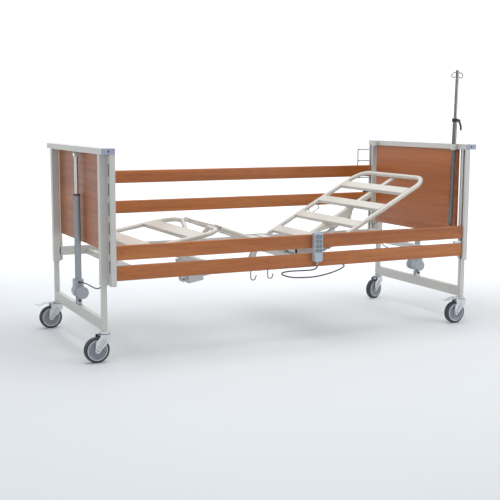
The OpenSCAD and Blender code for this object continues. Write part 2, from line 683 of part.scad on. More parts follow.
module actuator_rod(inner, tip) difference() {
    union() {
        translate([inner, 0, 0]) rotate([0, 90, 0]) cylinder(d = act_rod_d, h = tip - inner - eye_r + 4);
        pin_y(tip, 0, 2 * eye_r, -eye_w / 2, eye_w / 2);
    }
    pin_y(tip, 0, pin_d + 2 * fit, -eye_w, eye_w);
}
back_tip = [seat_x1, deck_z] + back_lever_u * [cos(back_a), sin(back_a)] + back_lever_w * [-sin(back_a), cos(back_a)];
thigh_tip = [seat_x0, deck_z] + thigh_lever;
module back_motor() color(motor_grey) bed() along(back_tail, back_tip) actuator_body(300);
module back_rod() color(chrome) bed() along(back_tail, back_tip) actuator_rod(172, norm(back_tip - back_tail));
module thigh_motor() color(motor_grey) bed() along(thigh_tail, thigh_tip) actuator_body(366);
module thigh_rod() color(chrome) bed() along(thigh_tail, thigh_tip)
    actuator_rod(150, norm(thigh_tip - thigh_tail));
module control_box() color(motor_grey) bed() {
    y0 = -(beam_y - beam_w / 2 - weld);
    difference() {
        block([180, y0, 390], [330, y0 + 90, 440]);
        block([184, y0 + 4, 394], [326, y0 + 86, 436]);
    }
    for (x = [200, 290]) block([x, y0 + 90 + weld, 400], [x + 20, y0 + 96, 430]);
}

// ---- side rails ----

board_l = 2 * (post_in_x - weld - track_d - 2.5);
module rail_board(y, top) translate([-board_l / 2, y, top - board_h / 2]) rotate([90, 0, 90])
    linear_extrude(board_l) rrect(board_t, board_h, 7);
module rail_sliders(y, top, fitting) both_ends() {
    track_x0 = post_in_x - weld - track_d;
    block([board_l / 2 + weld, y - 6, top - board_h / 2 - 24], [track_x0 + 4, y + 6, top - board_h / 2 + 24]);
    block([track_x0 + 3, y - track_w / 2 + 3.5, top - board_h / 2 - 30],
        [track_x0 + track_d - 3, y + track_w / 2 - 3.5, top - board_h / 2 + 30]);
    if (fitting) block([board_l / 2 - 50, y - 7, top + weld], [board_l / 2, y + 7, top + 13]);
}
module near_upper_rail() color(wood) bed() rail_board(-board_y, rail_top_z);
module near_lower_rail() color(wood) bed() rail_board(-board_y, rail_low_z);
module far_upper_rail() color(wood) bed() rail_board(board_y, rail_top_z + rail_lift);
module far_lower_rail() color(wood) bed() rail_board(board_y, rail_low_z + rail_share * rail_lift);
module near_upper_sliders() color(dark) bed() rail_sliders(-board_y, rail_top_z, false);
module near_lower_sliders() color(dark) bed() rail_sliders(-board_y, rail_low_z, true);
module far_upper_sliders() color(dark) bed() rail_sliders(board_y, rail_top_z + rail_lift, false);
module far_lower_sliders() color(dark) bed() rail_sliders(board_y, rail_low_z + rail_share * rail_lift, true);

// ---- casters, drawn with the swivel axis on z and the wheel trailing to -X ----

module fork(braked) {
    difference() {
        union() {
            translate([0, 0, fork_top - 9]) cylinder(d = cup_d - 2, h = 9);
            for (s = [-1, 1]) plate_y(s * (fork_y + fork_t / 2) - fork_t / 2, s * (fork_y + fork_t / 2) + fork_t / 2)
                fork_side(braked);
        }
        translate([0, 0, fork_top - 20]) cylinder(d = king_d + 2 * fit, h = 40);
        pin_y(-trail, wheel_z, axle_d + 2 * fit, -40, 40);
        if (braked) pin_y(pedal_pin[0], pedal_pin[1], pedal_pin_d + 2 * fit, -40, 40);
    }
    pin_y(-trail, wheel_z, axle_d, -fork_y - fork_t - 1, fork_y + fork_t + 1);
    for (s = [-1, 1]) pin_y(-trail, wheel_z, 18, s * (fork_y + fork_t + 3.2) - 2, s * (fork_y + fork_t + 3.2) + 2);
}
module fork_side(braked) {
    polygon([[-24, fork_top], [fork_front, fork_top], [fork_front, fork_top - 30], [-trail + 13, wheel_z - 4],
        [-trail - 13, wheel_z - 4], [-trail - 10, wheel_z + 40], [-28, fork_top - 12]]);
    translate([-trail, wheel_z]) circle(14);
    if (braked) translate(pedal_pin) circle(7);
    if (braked) translate([pedal_pin[0] - 7, pedal_pin[1] - 26]) square([14, 26]);
}
module wheel() translate([-trail, 0, wheel_z]) rotate([90, 0, 0]) {
    rim_r = wheel_d / 2 - 12;
    rotate_extrude() difference() {
        translate([rim_r + fit, -wheel_w / 2]) square([12 - fit, wheel_w]);
        for (s = [-1, 1]) translate([wheel_d / 2, s * wheel_w / 2]) rotate(45) square(7, center = true);
    }
    rotate_extrude() polygon([[axle_d / 2 + fit, -wheel_w / 2 - 1], [14, -wheel_w / 2 - 1], [15, -wheel_w / 2 + 4],
        [rim_r - 6, -wheel_w / 2 + 5], [rim_r - 4, -wheel_w / 2 + 1], [rim_r, -wheel_w / 2 + 1],
        [rim_r, wheel_w / 2 - 1], [rim_r - 4, wheel_w / 2 - 1], [rim_r - 6, wheel_w / 2 - 5],
        [15, wheel_w / 2 - 4], [14, wheel_w / 2 + 1], [axle_d / 2 + fit, wheel_w / 2 + 1]]);
}
module pedal() {
    x = pedal_pin[0];
    z = pedal_pin[1];
    half = fork_y - 1;
    difference() {
        plate_y(-half, half) {
            translate([x, z]) circle(6);
            polygon([[x, z + 6], [x - 36, z + 4], [x - 66, z - 7], [-pedal_reach, z - 1], [-pedal_reach, z - 5],
                [x - 66, z - 11], [x - 36, z], [x, z - 2]]);
        }
        pin_y(x, z, pedal_pin_d + 2 * fit, -40, 40);
        for (s = [-1, 1]) block([-pedal_reach - 1, min(s * 9, s * 40), z - 30], [-pedal_reach + 12, max(s * 9, s * 40), z + 30]);
    }
    pin_y(x, z, pedal_pin_d, -fork_y - fork_t - 1, fork_y + fork_t + 1);
}
module at_caster(sx, sy, a) translate([sx * post_x, sy * post_y, 0]) rotate([0, 0, a]) children();
module fork_foot_near() color(zinc) bed() at_caster(-1, -1, 0) fork(false);
module fork_foot_far() color(zinc) bed() at_caster(-1, 1, 0) fork(true);
module fork_head_near() color(zinc) bed() at_caster(1, -1, 0) fork(true);
module fork_head_far() color(zinc) bed() at_caster(1, 1, turned_a) fork(false);
module wheel_foot_near() color(tyre_grey) bed() at_caster(-1, -1, 0) wheel();
module wheel_foot_far() color(tyre_grey) bed() at_caster(-1, 1, 0) wheel();
module wheel_head_near() color(tyre_grey) bed() at_caster(1, -1, 0) wheel();
module wheel_head_far() color(tyre_grey) bed() at_caster(1, 1, turned_a) wheel();
module pedal_foot_far() color(zinc) bed() at_caster(-1, 1, 0) pedal();
module pedal_head_near() color(zinc) bed() at_caster(1, -1, 0) pedal();

// ---- infusion pole, heights measured along its axis from the socket ----

socket_z = end_rail_z + 12;
collar_z = pole_z + pole_tube_l - socket_z;
module iv_pole_tube() color(chrome) bed() pole_axis(pole_y) {
    low = pole_z - socket_z;
    difference() {
        translate([0, 0, low]) cylinder(d = pole_tube_d, h = pole_tube_l);
        translate([0, 0, low + 6]) cylinder(d = pole_rod_d + 2 * slide_gap, h = pole_tube_l);
    }
    difference() {
        union() {
            translate([0, 0, collar_z - 16]) cylinder(d = pole_tube_d + 10, h = 20);
            for (s = [-1, 1]) plate_y(s * 11 - 1.5, s * 11 + 1.5) {
                translate([lever_x, collar_z - 6]) circle(6);
                translate([10, collar_z - 12]) square([lever_x - 10, 12]);
            }
        }
        translate([0, 0, collar_z - 17]) cylinder(d = pole_tube_d + 2 * fit, h = 22);
        pin_y(lever_x, collar_z - 6, lever_pin_d + 2 * fit, -20, 20);
    }
    pin_y(lever_x, collar_z - 6, lever_pin_d, -14, 14);
}
module iv_pole_rod() color(chrome) bed() pole_axis(pole_y) {
    top = pole_top_z - socket_z;
    difference() {
        translate([0, 0, pole_rod_z - socket_z]) cylinder(d = pole_rod_d, h = top - pole_rod_z + socket_z);
        translate([0, 0, pole_rod_z - socket_z - 1]) cylinder(d = pole_rod_d - 3, h = top - pole_rod_z + socket_z - 4);
    }
    for (s = [-1, 1]) {
        run([s * (pole_rod_d / 2 + weld), 0, top - 10], [s * 24.5, 0, top - 16.4], 6);
        for (k = [0:2]) translate([s * 26, 0, top - 30]) rotate([90, 0, s > 0 ? 0 : 180])
            rotate([0, 0, 90 - 80 * (k + 1)]) rotate_extrude(angle = 79) translate([13, 0]) circle(d = 6);
    }
}
lever_x = pole_tube_d / 2 + 5 + 6;
lever_pin_d = 5;
module iv_clamp_lever() color(dark) bed() pole_axis(pole_y) translate([lever_x, 0, collar_z - 6])
    difference() {
        union() {
            pin_y(0, 0, 11, -9, 9);
            plate_y(-5, 5) polygon([[1, 3], [17, -16], [23, -34], [24, -56], [18, -57], [16, -35],
                [10, -21], [-1, -5]]);
        }
        pin_y(0, 0, lever_pin_d + 2 * fit, -20, 20);
    }

// ---- hooks and rack ----

hook_d = 6;
module drain_hook(x, low, tip) {
    y = -beam_y - beam_w / 2 - 3 - hook_d / 2 - 2 * weld;
    r = 14;
    run([x, y, low + r + weld], [x, y, beam_z + 20], hook_d);
    for (a = [181, 270]) translate([x + r, y, low + r]) rotate([90, 0, 0]) rotate([0, 0, a])
        rotate_extrude(angle = 88.5) translate([r, 0]) circle(d = hook_d);
    run([x + 2 * r, y, low + r + weld], [x + 2 * r + 4, y, low + tip], hook_d);
}
module drainage_hooks() color(zinc) bed() {
    y = -beam_y - beam_w / 2 - weld;
    drain_hook(-291, 346, 24);
    drain_hook(-193, 348, 24);
    block([-305, y - 3, beam_z + 2], [-179, y, beam_z + 26]);
}
module wire_rack() color(zinc) bed() {
    y = track_y + track_w / 2 + rack_d / 2 + 0.5;
    x0 = post_in_x - weld - track_d / 2;
    run([948, y, 785], [948, y, 976], rack_d);
    for (z = [788, 899, 973])
        run([948 + rack_d / 2 + weld, y, z], [x0, y, z], rack_d);
}

// ---- hand control ----

module at_handset() translate([handset_x, handset_y, handset_z]) children();
module handset_body() color(blue_grey) bed() {
    grip = handset_y + board_t + 5;
    difference() {
        at_handset() translate([0, 0, handset_h / 2]) rotate([90, 0, 0]) linear_extrude(handset_t)
            rrect(handset_w, handset_h, 12);
        for (i = [0:3]) key_place(i) translate([0, -0.01 + key_dip, 0]) rotate([90, 0, 0])
            linear_extrude(key_dip + 1) rrect(key_w + 1.6, key_h + 1.6, 4);
    }
    // strap over the upper rail
    block([handset_x - 12, handset_y + weld, rail_top_z - 20], [handset_x + 12, handset_y + 2, rail_top_z + 3]);
    block([handset_x - 12, handset_y + weld, rail_top_z + 0.5], [handset_x + 12, grip, rail_top_z + 3]);
    block([handset_x - 12, grip - 2, rail_top_z - 26], [handset_x + 12, grip, rail_top_z + 3]);
}
// Middle of key i on the front face, counted from the top
module key_place(i) translate([handset_x, handset_y - handset_t, handset_z + handset_h - 26 - i * key_pitch]) children();
module handset_key(i) color(motor_grey) bed() key_place(i) translate([0, key_rise, 0]) rotate([90, 0, 0])
    linear_extrude(2 * key_rise) rrect(key_w, key_h, 3.5);
module handset_key_1() handset_key(0);
module handset_key_2() handset_key(1);
module handset_key_3() handset_key(2);
module handset_key_4() handset_key(3);

module handset_cord() color(dark) bed() cord(handset_route, cord_d);
module foot_motor_lead() color(dark) bed() cord(foot_lead_route, lead_d);
module head_motor_lead() color(dark) bed() cord(head_lead_route, lead_d);

foot_leg_frame();
head_leg_frame();
foot_lift_motor();
head_lift_motor();
foot_lift_tube();
head_lift_tube();
foot_lift_rod();
head_lift_rod();
foot_end_frame();
head_end_frame();
foot_panel();
head_panel();
end_caps();
button_foot_near();
button_foot_far();
button_head_near();
button_head_far();
chassis_frame();
deck_pins();
backrest_frame();
mattress_loops();
thigh_frame();
knee_pins();
calf_frame();
back_motor();
back_rod();
thigh_motor();
thigh_rod();
control_box();
near_upper_rail();
near_lower_rail();
far_upper_rail();
far_lower_rail();
near_upper_sliders();
near_lower_sliders();
far_upper_sliders();
far_lower_sliders();
fork_foot_near();
fork_foot_far();
fork_head_near();
fork_head_far();
wheel_foot_near();
wheel_foot_far();
wheel_head_near();
wheel_head_far();
pedal_foot_far();
pedal_head_near();
iv_pole_tube();
iv_pole_rod();
iv_clamp_lever();
drainage_hooks();
wire_rack();
handset_body();
handset_key_1();
handset_key_2();
handset_key_3();
handset_key_4();
handset_cord();
foot_motor_lead();
head_motor_lead();
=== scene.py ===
"""Adjustable care bed: finishes, cords and fine pieces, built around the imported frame.

Places are written in millimetres in the bed's own frame: the floor is z = 0, the middle of the bed is
x = y = 0, the foot end is at -X and the near side at -Y. Bench turns them into the frame's metres.
"""

import json
import logging
import math
from dataclasses import dataclass
from enum import Enum

import bmesh
import bpy
import numpy as np
from mathutils import Matrix, Vector

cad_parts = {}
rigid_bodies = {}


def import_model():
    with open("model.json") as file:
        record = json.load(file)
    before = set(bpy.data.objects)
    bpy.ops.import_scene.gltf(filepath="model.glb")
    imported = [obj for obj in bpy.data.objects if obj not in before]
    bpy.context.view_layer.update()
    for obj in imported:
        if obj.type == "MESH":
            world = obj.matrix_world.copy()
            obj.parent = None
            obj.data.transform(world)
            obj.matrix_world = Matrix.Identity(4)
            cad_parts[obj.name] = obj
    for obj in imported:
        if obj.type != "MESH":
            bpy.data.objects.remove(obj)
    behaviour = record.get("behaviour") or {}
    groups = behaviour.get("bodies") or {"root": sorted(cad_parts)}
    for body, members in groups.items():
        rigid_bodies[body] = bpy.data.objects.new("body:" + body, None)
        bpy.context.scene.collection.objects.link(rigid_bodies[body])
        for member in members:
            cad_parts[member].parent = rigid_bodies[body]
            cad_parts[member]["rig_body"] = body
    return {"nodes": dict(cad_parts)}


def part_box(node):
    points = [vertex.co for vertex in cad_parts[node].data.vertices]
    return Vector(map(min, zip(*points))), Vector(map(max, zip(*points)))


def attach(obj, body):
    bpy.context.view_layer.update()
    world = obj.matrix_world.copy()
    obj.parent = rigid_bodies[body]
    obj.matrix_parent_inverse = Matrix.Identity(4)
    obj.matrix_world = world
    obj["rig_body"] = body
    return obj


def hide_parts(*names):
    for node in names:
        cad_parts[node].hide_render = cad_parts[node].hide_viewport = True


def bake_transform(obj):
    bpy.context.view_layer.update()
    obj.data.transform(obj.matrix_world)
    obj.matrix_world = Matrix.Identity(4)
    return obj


MM = 0.001
log = logging.getLogger("care_bed")
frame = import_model()


def linear(red: float, green: float, blue: float) -> tuple[float, float, float, float]:
    """Turns a display colour of 0 to 255 into the linear colour that a shader takes."""
    parts = [c / 255 for c in (red, green, blue)]
    return tuple(c / 12.92 if c <= 0.04045 else ((c + 0.055) / 1.055) ** 2.4 for c in parts) + (1.0,)


class Along(Enum):
    """The direction that a wood's grain runs in."""

    LENGTH = (0.045, 1.0, 1.0)
    HEIGHT = (1.0, 1.0, 0.045)
    WIDTH = (1.0, 0.045, 1.0)


class Tree:
    """A shader node tree that is filled call by call."""

    def __init__(self, tree: bpy.types.NodeTree) -> None:
        """Keeps the tree."""
        self.tree = tree

    def add(self, kind: str, inputs: dict | None = None, **settings: object) -> bpy.types.Node:
        """Adds a node.

        Args:
            kind: the node's Blender type.
            inputs: input name or number to a value or to the output socket that feeds it.
            settings: the node's own properties.

        Returns:
            The new node.
        """
        node = self.tree.nodes.new(kind)
        for key, value in settings.items():
            setattr(node, key, value)
        self.feed(node, inputs or {})
        return node

    def feed(self, node: bpy.types.Node, inputs: dict) -> None:
        """Links each output socket to its input, and sets each plain value on its input."""
        for key, value in inputs.items():
            if isinstance(value, bpy.types.NodeSocket):
                self.tree.links.new(value, node.inputs[key])
            else:
                node.inputs[key].default_value = value

    def ramp(self, factor: bpy.types.NodeSocket, stops: list[tuple[float, tuple]]) -> bpy.types.NodeSocket:
        """Adds a colour ramp and returns its colour output.

        Args:
            factor: the output that drives the ramp.
            stops: place and colour of each stop.
        """
        node = self.add("ShaderNodeValToRGB", {"Fac": factor})
        elements = node.color_ramp.elements
        while len(elements) < len(stops):
            elements.new(0.5)
        for element, (place, colour) in zip(elements, stops):
            element.position = place
            element.color = colour
        return node.outputs["Color"]

    def mix(self, factor: object, first: object, second: object, blend: str = "MIX") -> bpy.types.NodeSocket:
        """Mixes two colours and returns the result.

        Args:
            factor: share of the second colour.
            first: first colour.
            second: second colour.
            blend: how the two are combined.
        """
        node = self.add("ShaderNodeMix", {0: factor, 6: first, 7: second}, data_type="RGBA", blend_type=blend)
        return node.outputs[2]

    def math(self, kind: str, first: object, second: object = 0.0) -> bpy.types.NodeSocket:
        """Adds a math node and returns its value."""
        return self.add("ShaderNodeMath", {0: first, 1: second}, operation=kind).outputs[0]

    def noise(self, vector: object, scale: object, detail: float, roughness: float = 0.5) -> bpy.types.Node:
        """Adds a noise texture."""
        return self.add("ShaderNodeTexNoise", {"Vector": vector, "Scale": scale, "Detail": detail,
                                               "Roughness": roughness})

    def spread(self, value: bpy.types.NodeSocket, low: float, high: float) -> bpy.types.NodeSocket:
        """Maps the middle of a noise, 0.3 to 0.7, to a range of values."""
        return self.add("ShaderNodeMapRange", {"Value": value, "From Min": 0.3, "From Max": 0.7,
                                               "To Min": low, "To Max": high}).outputs[0]

    def bump(self, height: bpy.types.NodeSocket, strength: float, depth: float) -> bpy.types.NodeSocket:
        """Adds a bump of a depth in metres and returns its normal."""
        return self.add("ShaderNodeBump", {"Height": height, "Strength": strength,
                                           "Distance": depth}).outputs[0]


def new_group(name: str, inputs: dict[str, float],
              outputs: list[str]) -> tuple[Tree, bpy.types.Node, bpy.types.Node]:
    """Starts a shader node group.

    Args:
        name: the group's name.
        inputs: input name to its default value.
        outputs: names of the value outputs.

    Returns:
        The tree, its input node and its output node.
    """
    group = bpy.data.node_groups.new(name, "ShaderNodeTree")
    group.interface.new_socket("Vector", in_out="INPUT", socket_type="NodeSocketVector")
    for key, value in inputs.items():
        group.interface.new_socket(key, in_out="INPUT", socket_type="NodeSocketFloat").default_value = value
    for key in outputs:
        group.interface.new_socket(key, in_out="OUTPUT", socket_type="NodeSocketFloat")
    tree = Tree(group)
    return tree, tree.add("NodeGroupInput"), tree.add("NodeGroupOutput")


def handling_group() -> bpy.types.NodeTree:
    """Builds the group that gives the small unevenness of a used surface.

    Three noises: broad blotches, middling cloud and fine grain. Their sums become a tone, a gloss and a
    height.
    """
    tree, source, sink = new_group("handling", {"Blotch": 5.0, "Grain": 900.0}, ["Tone", "Gloss", "Height"])
    vector = source.outputs["Vector"]
    blotch, grain = source.outputs["Blotch"], source.outputs["Grain"]
    broad = tree.noise(vector, blotch, 3.0)
    cloud = tree.noise(vector, tree.math("MULTIPLY", blotch, 9.0), 5.0)
    fine = tree.noise(vector, grain, 2.0)
    tone = tree.math("ADD", tree.math("MULTIPLY", broad.outputs["Fac"], 0.6),
                     tree.math("MULTIPLY", cloud.outputs["Fac"], 0.4))
    gloss = tree.math("ADD", tree.math("MULTIPLY", cloud.outputs["Fac"], 0.7),
                      tree.math("MULTIPLY", fine.outputs["Fac"], 0.3))
    tree.feed(sink, {"Tone": tone, "Gloss": gloss, "Height": fine.outputs["Fac"]})
    return tree.tree


def wood_group() -> bpy.types.NodeTree:
    """Builds the group that gives a veneer: slow figure, fine streaks and short dark pores along one axis."""
    tree, source, sink = new_group("veneer", {"Figure": 7.0, "Streak": 60.0, "Pore": 420.0},
                                   ["Figure", "Streak", "Pore"])
    vector = source.outputs["Vector"]
    warp = tree.noise(vector, 2.2, 2.0)
    shift = tree.add("ShaderNodeVectorMath", {0: warp.outputs["Color"], 3: 0.18}, operation="SCALE")
    bent = tree.add("ShaderNodeVectorMath", {0: vector, 1: shift.outputs[0]}, operation="ADD").outputs[0]
    for key, detail in (("Figure", 4.0), ("Streak", 6.0), ("Pore", 2.0)):
        noise = tree.noise(bent, source.outputs[key], detail, 0.62)
        tree.feed(sink, {key: noise.outputs["Fac"]})
    return tree.tree


class Finish:
    """Something that can make a Blender material once and hand it out again."""

    name: str
    groups: dict[str, bpy.types.NodeTree] = {}

    def start_tree(self) -> tuple[bpy.types.Material, Tree, bpy.types.Node, bpy.types.NodeSocket]:
        """Makes an empty material with a Principled shader and Object coordinates."""
        made = bpy.data.materials.new(self.name)
        made.use_nodes = True
        made.node_tree.nodes.clear()
        tree = Tree(made.node_tree)
        shader = tree.add("ShaderNodeBsdfPrincipled")
        tree.add("ShaderNodeOutputMaterial", {"Surface": shader.outputs[0]})
        place = tree.add("ShaderNodeTexCoord").outputs["Object"]
        return made, tree, shader, place

    def group(self, tree: Tree, kind: str, inputs: dict) -> bpy.types.Node:
        """Places one of the shared node groups in a material."""
        makers = {"handling": handling_group, "veneer": wood_group}
        if kind not in Finish.groups:
            Finish.groups[kind] = makers[kind]()
        return tree.add("ShaderNodeGroup", inputs, node_tree=Finish.groups[kind])

    def build(self) -> bpy.types.Material:
        """Makes the material."""
        raise NotImplementedError

    def material(self) -> bpy.types.Material:
        """Returns the material, made on first use."""
        return bpy.data.materials.get(self.name) or self.build()


@dataclass(frozen=True)
class Coating(Finish):
    """Paint, plastic, rubber or metal: one colour with slight blotches, uneven gloss and a fine bump, and for
    metals with an edge value painted shade at grazing angles.
    """

    name: str
    colour: tuple
    roughness: float
    metallic: float = 0.0
    tone: float = 0.06
    gloss: float = 0.08
    bump: float = 0.04
    grain: float = 900.0
    blotch: float = 5.0
    coat: float = 0.0
    # edge: strength of the painted shade that darkens the colour where the surface turns away from the view
    edge: float = 0.0

    def build(self) -> bpy.types.Material:
        """Makes the material: tone darkens the colour, gloss moves the roughness, height feeds a bump.

        A metal with an edge value gets painted shade: its colour darkens where its surface turns away from
        the view, standing in for the reflection of a darker room.
        """
        made, tree, shader, place = self.start_tree()
        marks = self.group(tree, "handling", {"Vector": place, "Blotch": self.blotch, "Grain": self.grain})
        dark = tuple(c * (1 - 2.4 * self.tone) for c in self.colour[:3]) + (1.0,)
        light = tuple(min(1.0, c * (1 + 1.2 * self.tone)) for c in self.colour[:3]) + (1.0,)
        colour = tree.ramp(marks.outputs["Tone"], [(0.3, dark), (0.5, self.colour), (0.72, light)])
        # Painted shade: the colour darkens towards grazing angles, standing in for a darker reflection.
        if self.edge:
            facing = tree.add("ShaderNodeLayerWeight", {"Blend": 0.5}).outputs["Facing"]
            shade = tree.ramp(facing, [(0.25, (1, 1, 1, 1)), (0.8, (1 - self.edge,) * 3 + (1,))])
            colour = tree.mix(1.0, colour, shade, "MULTIPLY")
        low, high = self.roughness - self.gloss, self.roughness + self.gloss
        rough = tree.spread(marks.outputs["Gloss"], max(0.02, low), min(1.0, high))
        bump = tree.bump(marks.outputs["Height"], self.bump, 0.0006)
        tree.feed(shader, {"Base Color": colour, "Roughness": rough, "Normal": bump,
                           "Metallic": self.metallic, "Coat Weight": self.coat, "Coat Roughness": 0.18})
        return made


@dataclass(frozen=True)
class Veneer(Finish):
    """Lacquered cherry: a warm figure, darker streaks and fine pores along the grain."""

    name: str
    light: tuple
    middle: tuple
    dark: tuple
    along: Along
    streak: float = 0.6
    pore: float = 0.5
    coat: float = 0.2
    roughness: float = 0.36

    def build(self) -> bpy.types.Material:
        """Makes the material: figure picks the tone, streaks and pores darken it, pores sink a little."""
        made, tree, shader, place = self.start_tree()
        run = tree.add("ShaderNodeMapping", {"Vector": place, "Scale": self.along.value}).outputs[0]
        veneer = self.group(tree, "veneer", {"Vector": run})
        tones = [(0.32, self.dark), (0.5, self.middle), (0.68, self.light)]
        figure = tree.ramp(veneer.outputs["Figure"], tones)
        streak = tree.ramp(veneer.outputs["Streak"], [(0.36, (0.72, 0.66, 0.6, 1)), (0.6, (1, 1, 1, 1))])
        pore = tree.ramp(veneer.outputs["Pore"], [(0.36, (0.62, 0.55, 0.5, 1)), (0.46, (1, 1, 1, 1))])
        colour = tree.mix(self.streak, figure, streak, "MULTIPLY")
        colour = tree.mix(self.pore, colour, pore, "MULTIPLY")
        rough = tree.spread(veneer.outputs["Streak"], self.roughness + 0.08, self.roughness - 0.06)
        bump = tree.bump(veneer.outputs["Pore"], 0.1, 0.0005)
        tree.feed(shader, {"Base Color": colour, "Roughness": rough, "Normal": bump, "Coat Weight": self.coat,
                           "Coat Roughness": 0.22})
        return made


FRAME_PAINT = Coating("frame_paint", linear(205, 204, 199), 0.36, tone=0.025, bump=0.05, grain=1500.0,
                      coat=0.15)
DECK_PAINT = Coating("deck_paint", linear(210, 207, 198), 0.38, tone=0.025, bump=0.05, grain=1500.0,
                     coat=0.15)
CAP_PLASTIC = Coating("cap_plastic", linear(160, 168, 186), 0.42, tone=0.03, bump=0.12, grain=1300.0)
MOTOR_PLASTIC = Coating("motor_plastic", linear(172, 177, 186), 0.46, tone=0.04, bump=0.2, grain=1300.0)
MOTOR_LIGHT = Coating("motor_light", linear(208, 210, 214), 0.46, tone=0.03, bump=0.15, grain=1300.0)
# COLUMN_METAL, CHROME and ZINC: their edge value is painted shade at grazing angles.
COLUMN_METAL = Coating("column_anodised", linear(172, 179, 187), 0.34, metallic=0.3, tone=0.01, gloss=0.01,
                       bump=0.0, edge=0.6)
CHROME = Coating("chrome", linear(218, 221, 224), 0.14, metallic=1.0, tone=0.01, gloss=0.02, bump=0.0,
                 edge=0.85)
ZINC = Coating("zinc", linear(212, 223, 233), 0.26, metallic=0.6, tone=0.07, gloss=0.08, blotch=30.0,
               edge=0.45)
WIRE = Coating("wire", linear(132, 134, 136), 0.32, metallic=0.8, tone=0.05, gloss=0.08, blotch=30.0)
BLACK_PLASTIC = Coating("black_plastic", linear(38, 39, 42), 0.48, tone=0.08, bump=0.2)
TYRE = Coating("tyre_rubber", linear(66, 70, 77), 0.66, tone=0.08, bump=0.3, blotch=20.0)
WHEEL_RIM = Coating("wheel_rim", linear(212, 215, 220), 0.4, tone=0.04, bump=0.1, blotch=20.0)
MOTOR_DARK = Coating("motor_dark", linear(88, 92, 100), 0.5, tone=0.05, bump=0.2, grain=1300.0)
# POLE_STEEL: its edge value is painted shade at grazing angles.
POLE_STEEL = Coating("pole_steel", linear(150, 148, 146), 0.22, metallic=1.0, tone=0.04, gloss=0.06,
                     bump=0.01, edge=0.75)
WHEEL_DISC = Coating("wheel_disc", linear(140, 144, 153), 0.45, tone=0.05, bump=0.15, blotch=20.0)
HANDSET_PLASTIC = Coating("handset_plastic", linear(178, 189, 199), 0.4, tone=0.03, bump=0.12)
KEY_PLASTIC = Coating("key_plastic", linear(140, 150, 156), 0.5, tone=0.04, bump=0.15)
CORD_JACKET = Coating("cord_jacket", linear(30, 31, 34), 0.5, tone=0.08, bump=0.1)
RAIL_WOOD = Veneer("rail_cherry", linear(196, 124, 68), linear(182, 109, 56), linear(164, 95, 48),
                   Along.LENGTH)
PANEL_WOOD = Veneer("panel_cherry", linear(188, 114, 62), linear(176, 103, 54), linear(156, 90, 50),
                    Along.WIDTH, streak=0.3, pore=0.35, coat=0.08, roughness=0.42)


@dataclass(frozen=True)
class Paper(Finish):
    """Studio paper: pale grey underfoot, with painted light that brightens it to white behind the object."""

    name: str
    near: tuple = linear(222, 226, 229)
    start: float = -0.4
    end: float = 4.2
    # Strength of the painted light: emission at the far end of the paper.
    painted_glow: float = 0.62
    turn: float = 26.0

    def build(self) -> bpy.types.Material:
        """Makes the material: painted light, an emission that distance along the view raises from nothing to
        white.
        """
        made, tree, shader, place = self.start_tree()
        turn = (0, 0, math.radians(self.turn))
        run = tree.add("ShaderNodeMapping", {"Vector": place, "Rotation": turn}).outputs[0]
        depth = tree.add("ShaderNodeSeparateXYZ", {0: run}).outputs["Y"]
        # Painted light: the paper glows more with distance along the view.
        painted_glow = tree.add("ShaderNodeMapRange", {"Value": depth, "From Min": self.start, "From Max": self.end,
                                               "To Min": 0.0, "To Max": self.painted_glow},
                        interpolation_type="SMOOTHSTEP")
        tree.feed(shader, {"Base Color": self.near, "Roughness": 0.75, "Emission Color": (1.0, 1.0, 1.0, 1.0),
                           "Emission Strength": painted_glow.outputs[0]})
        return made


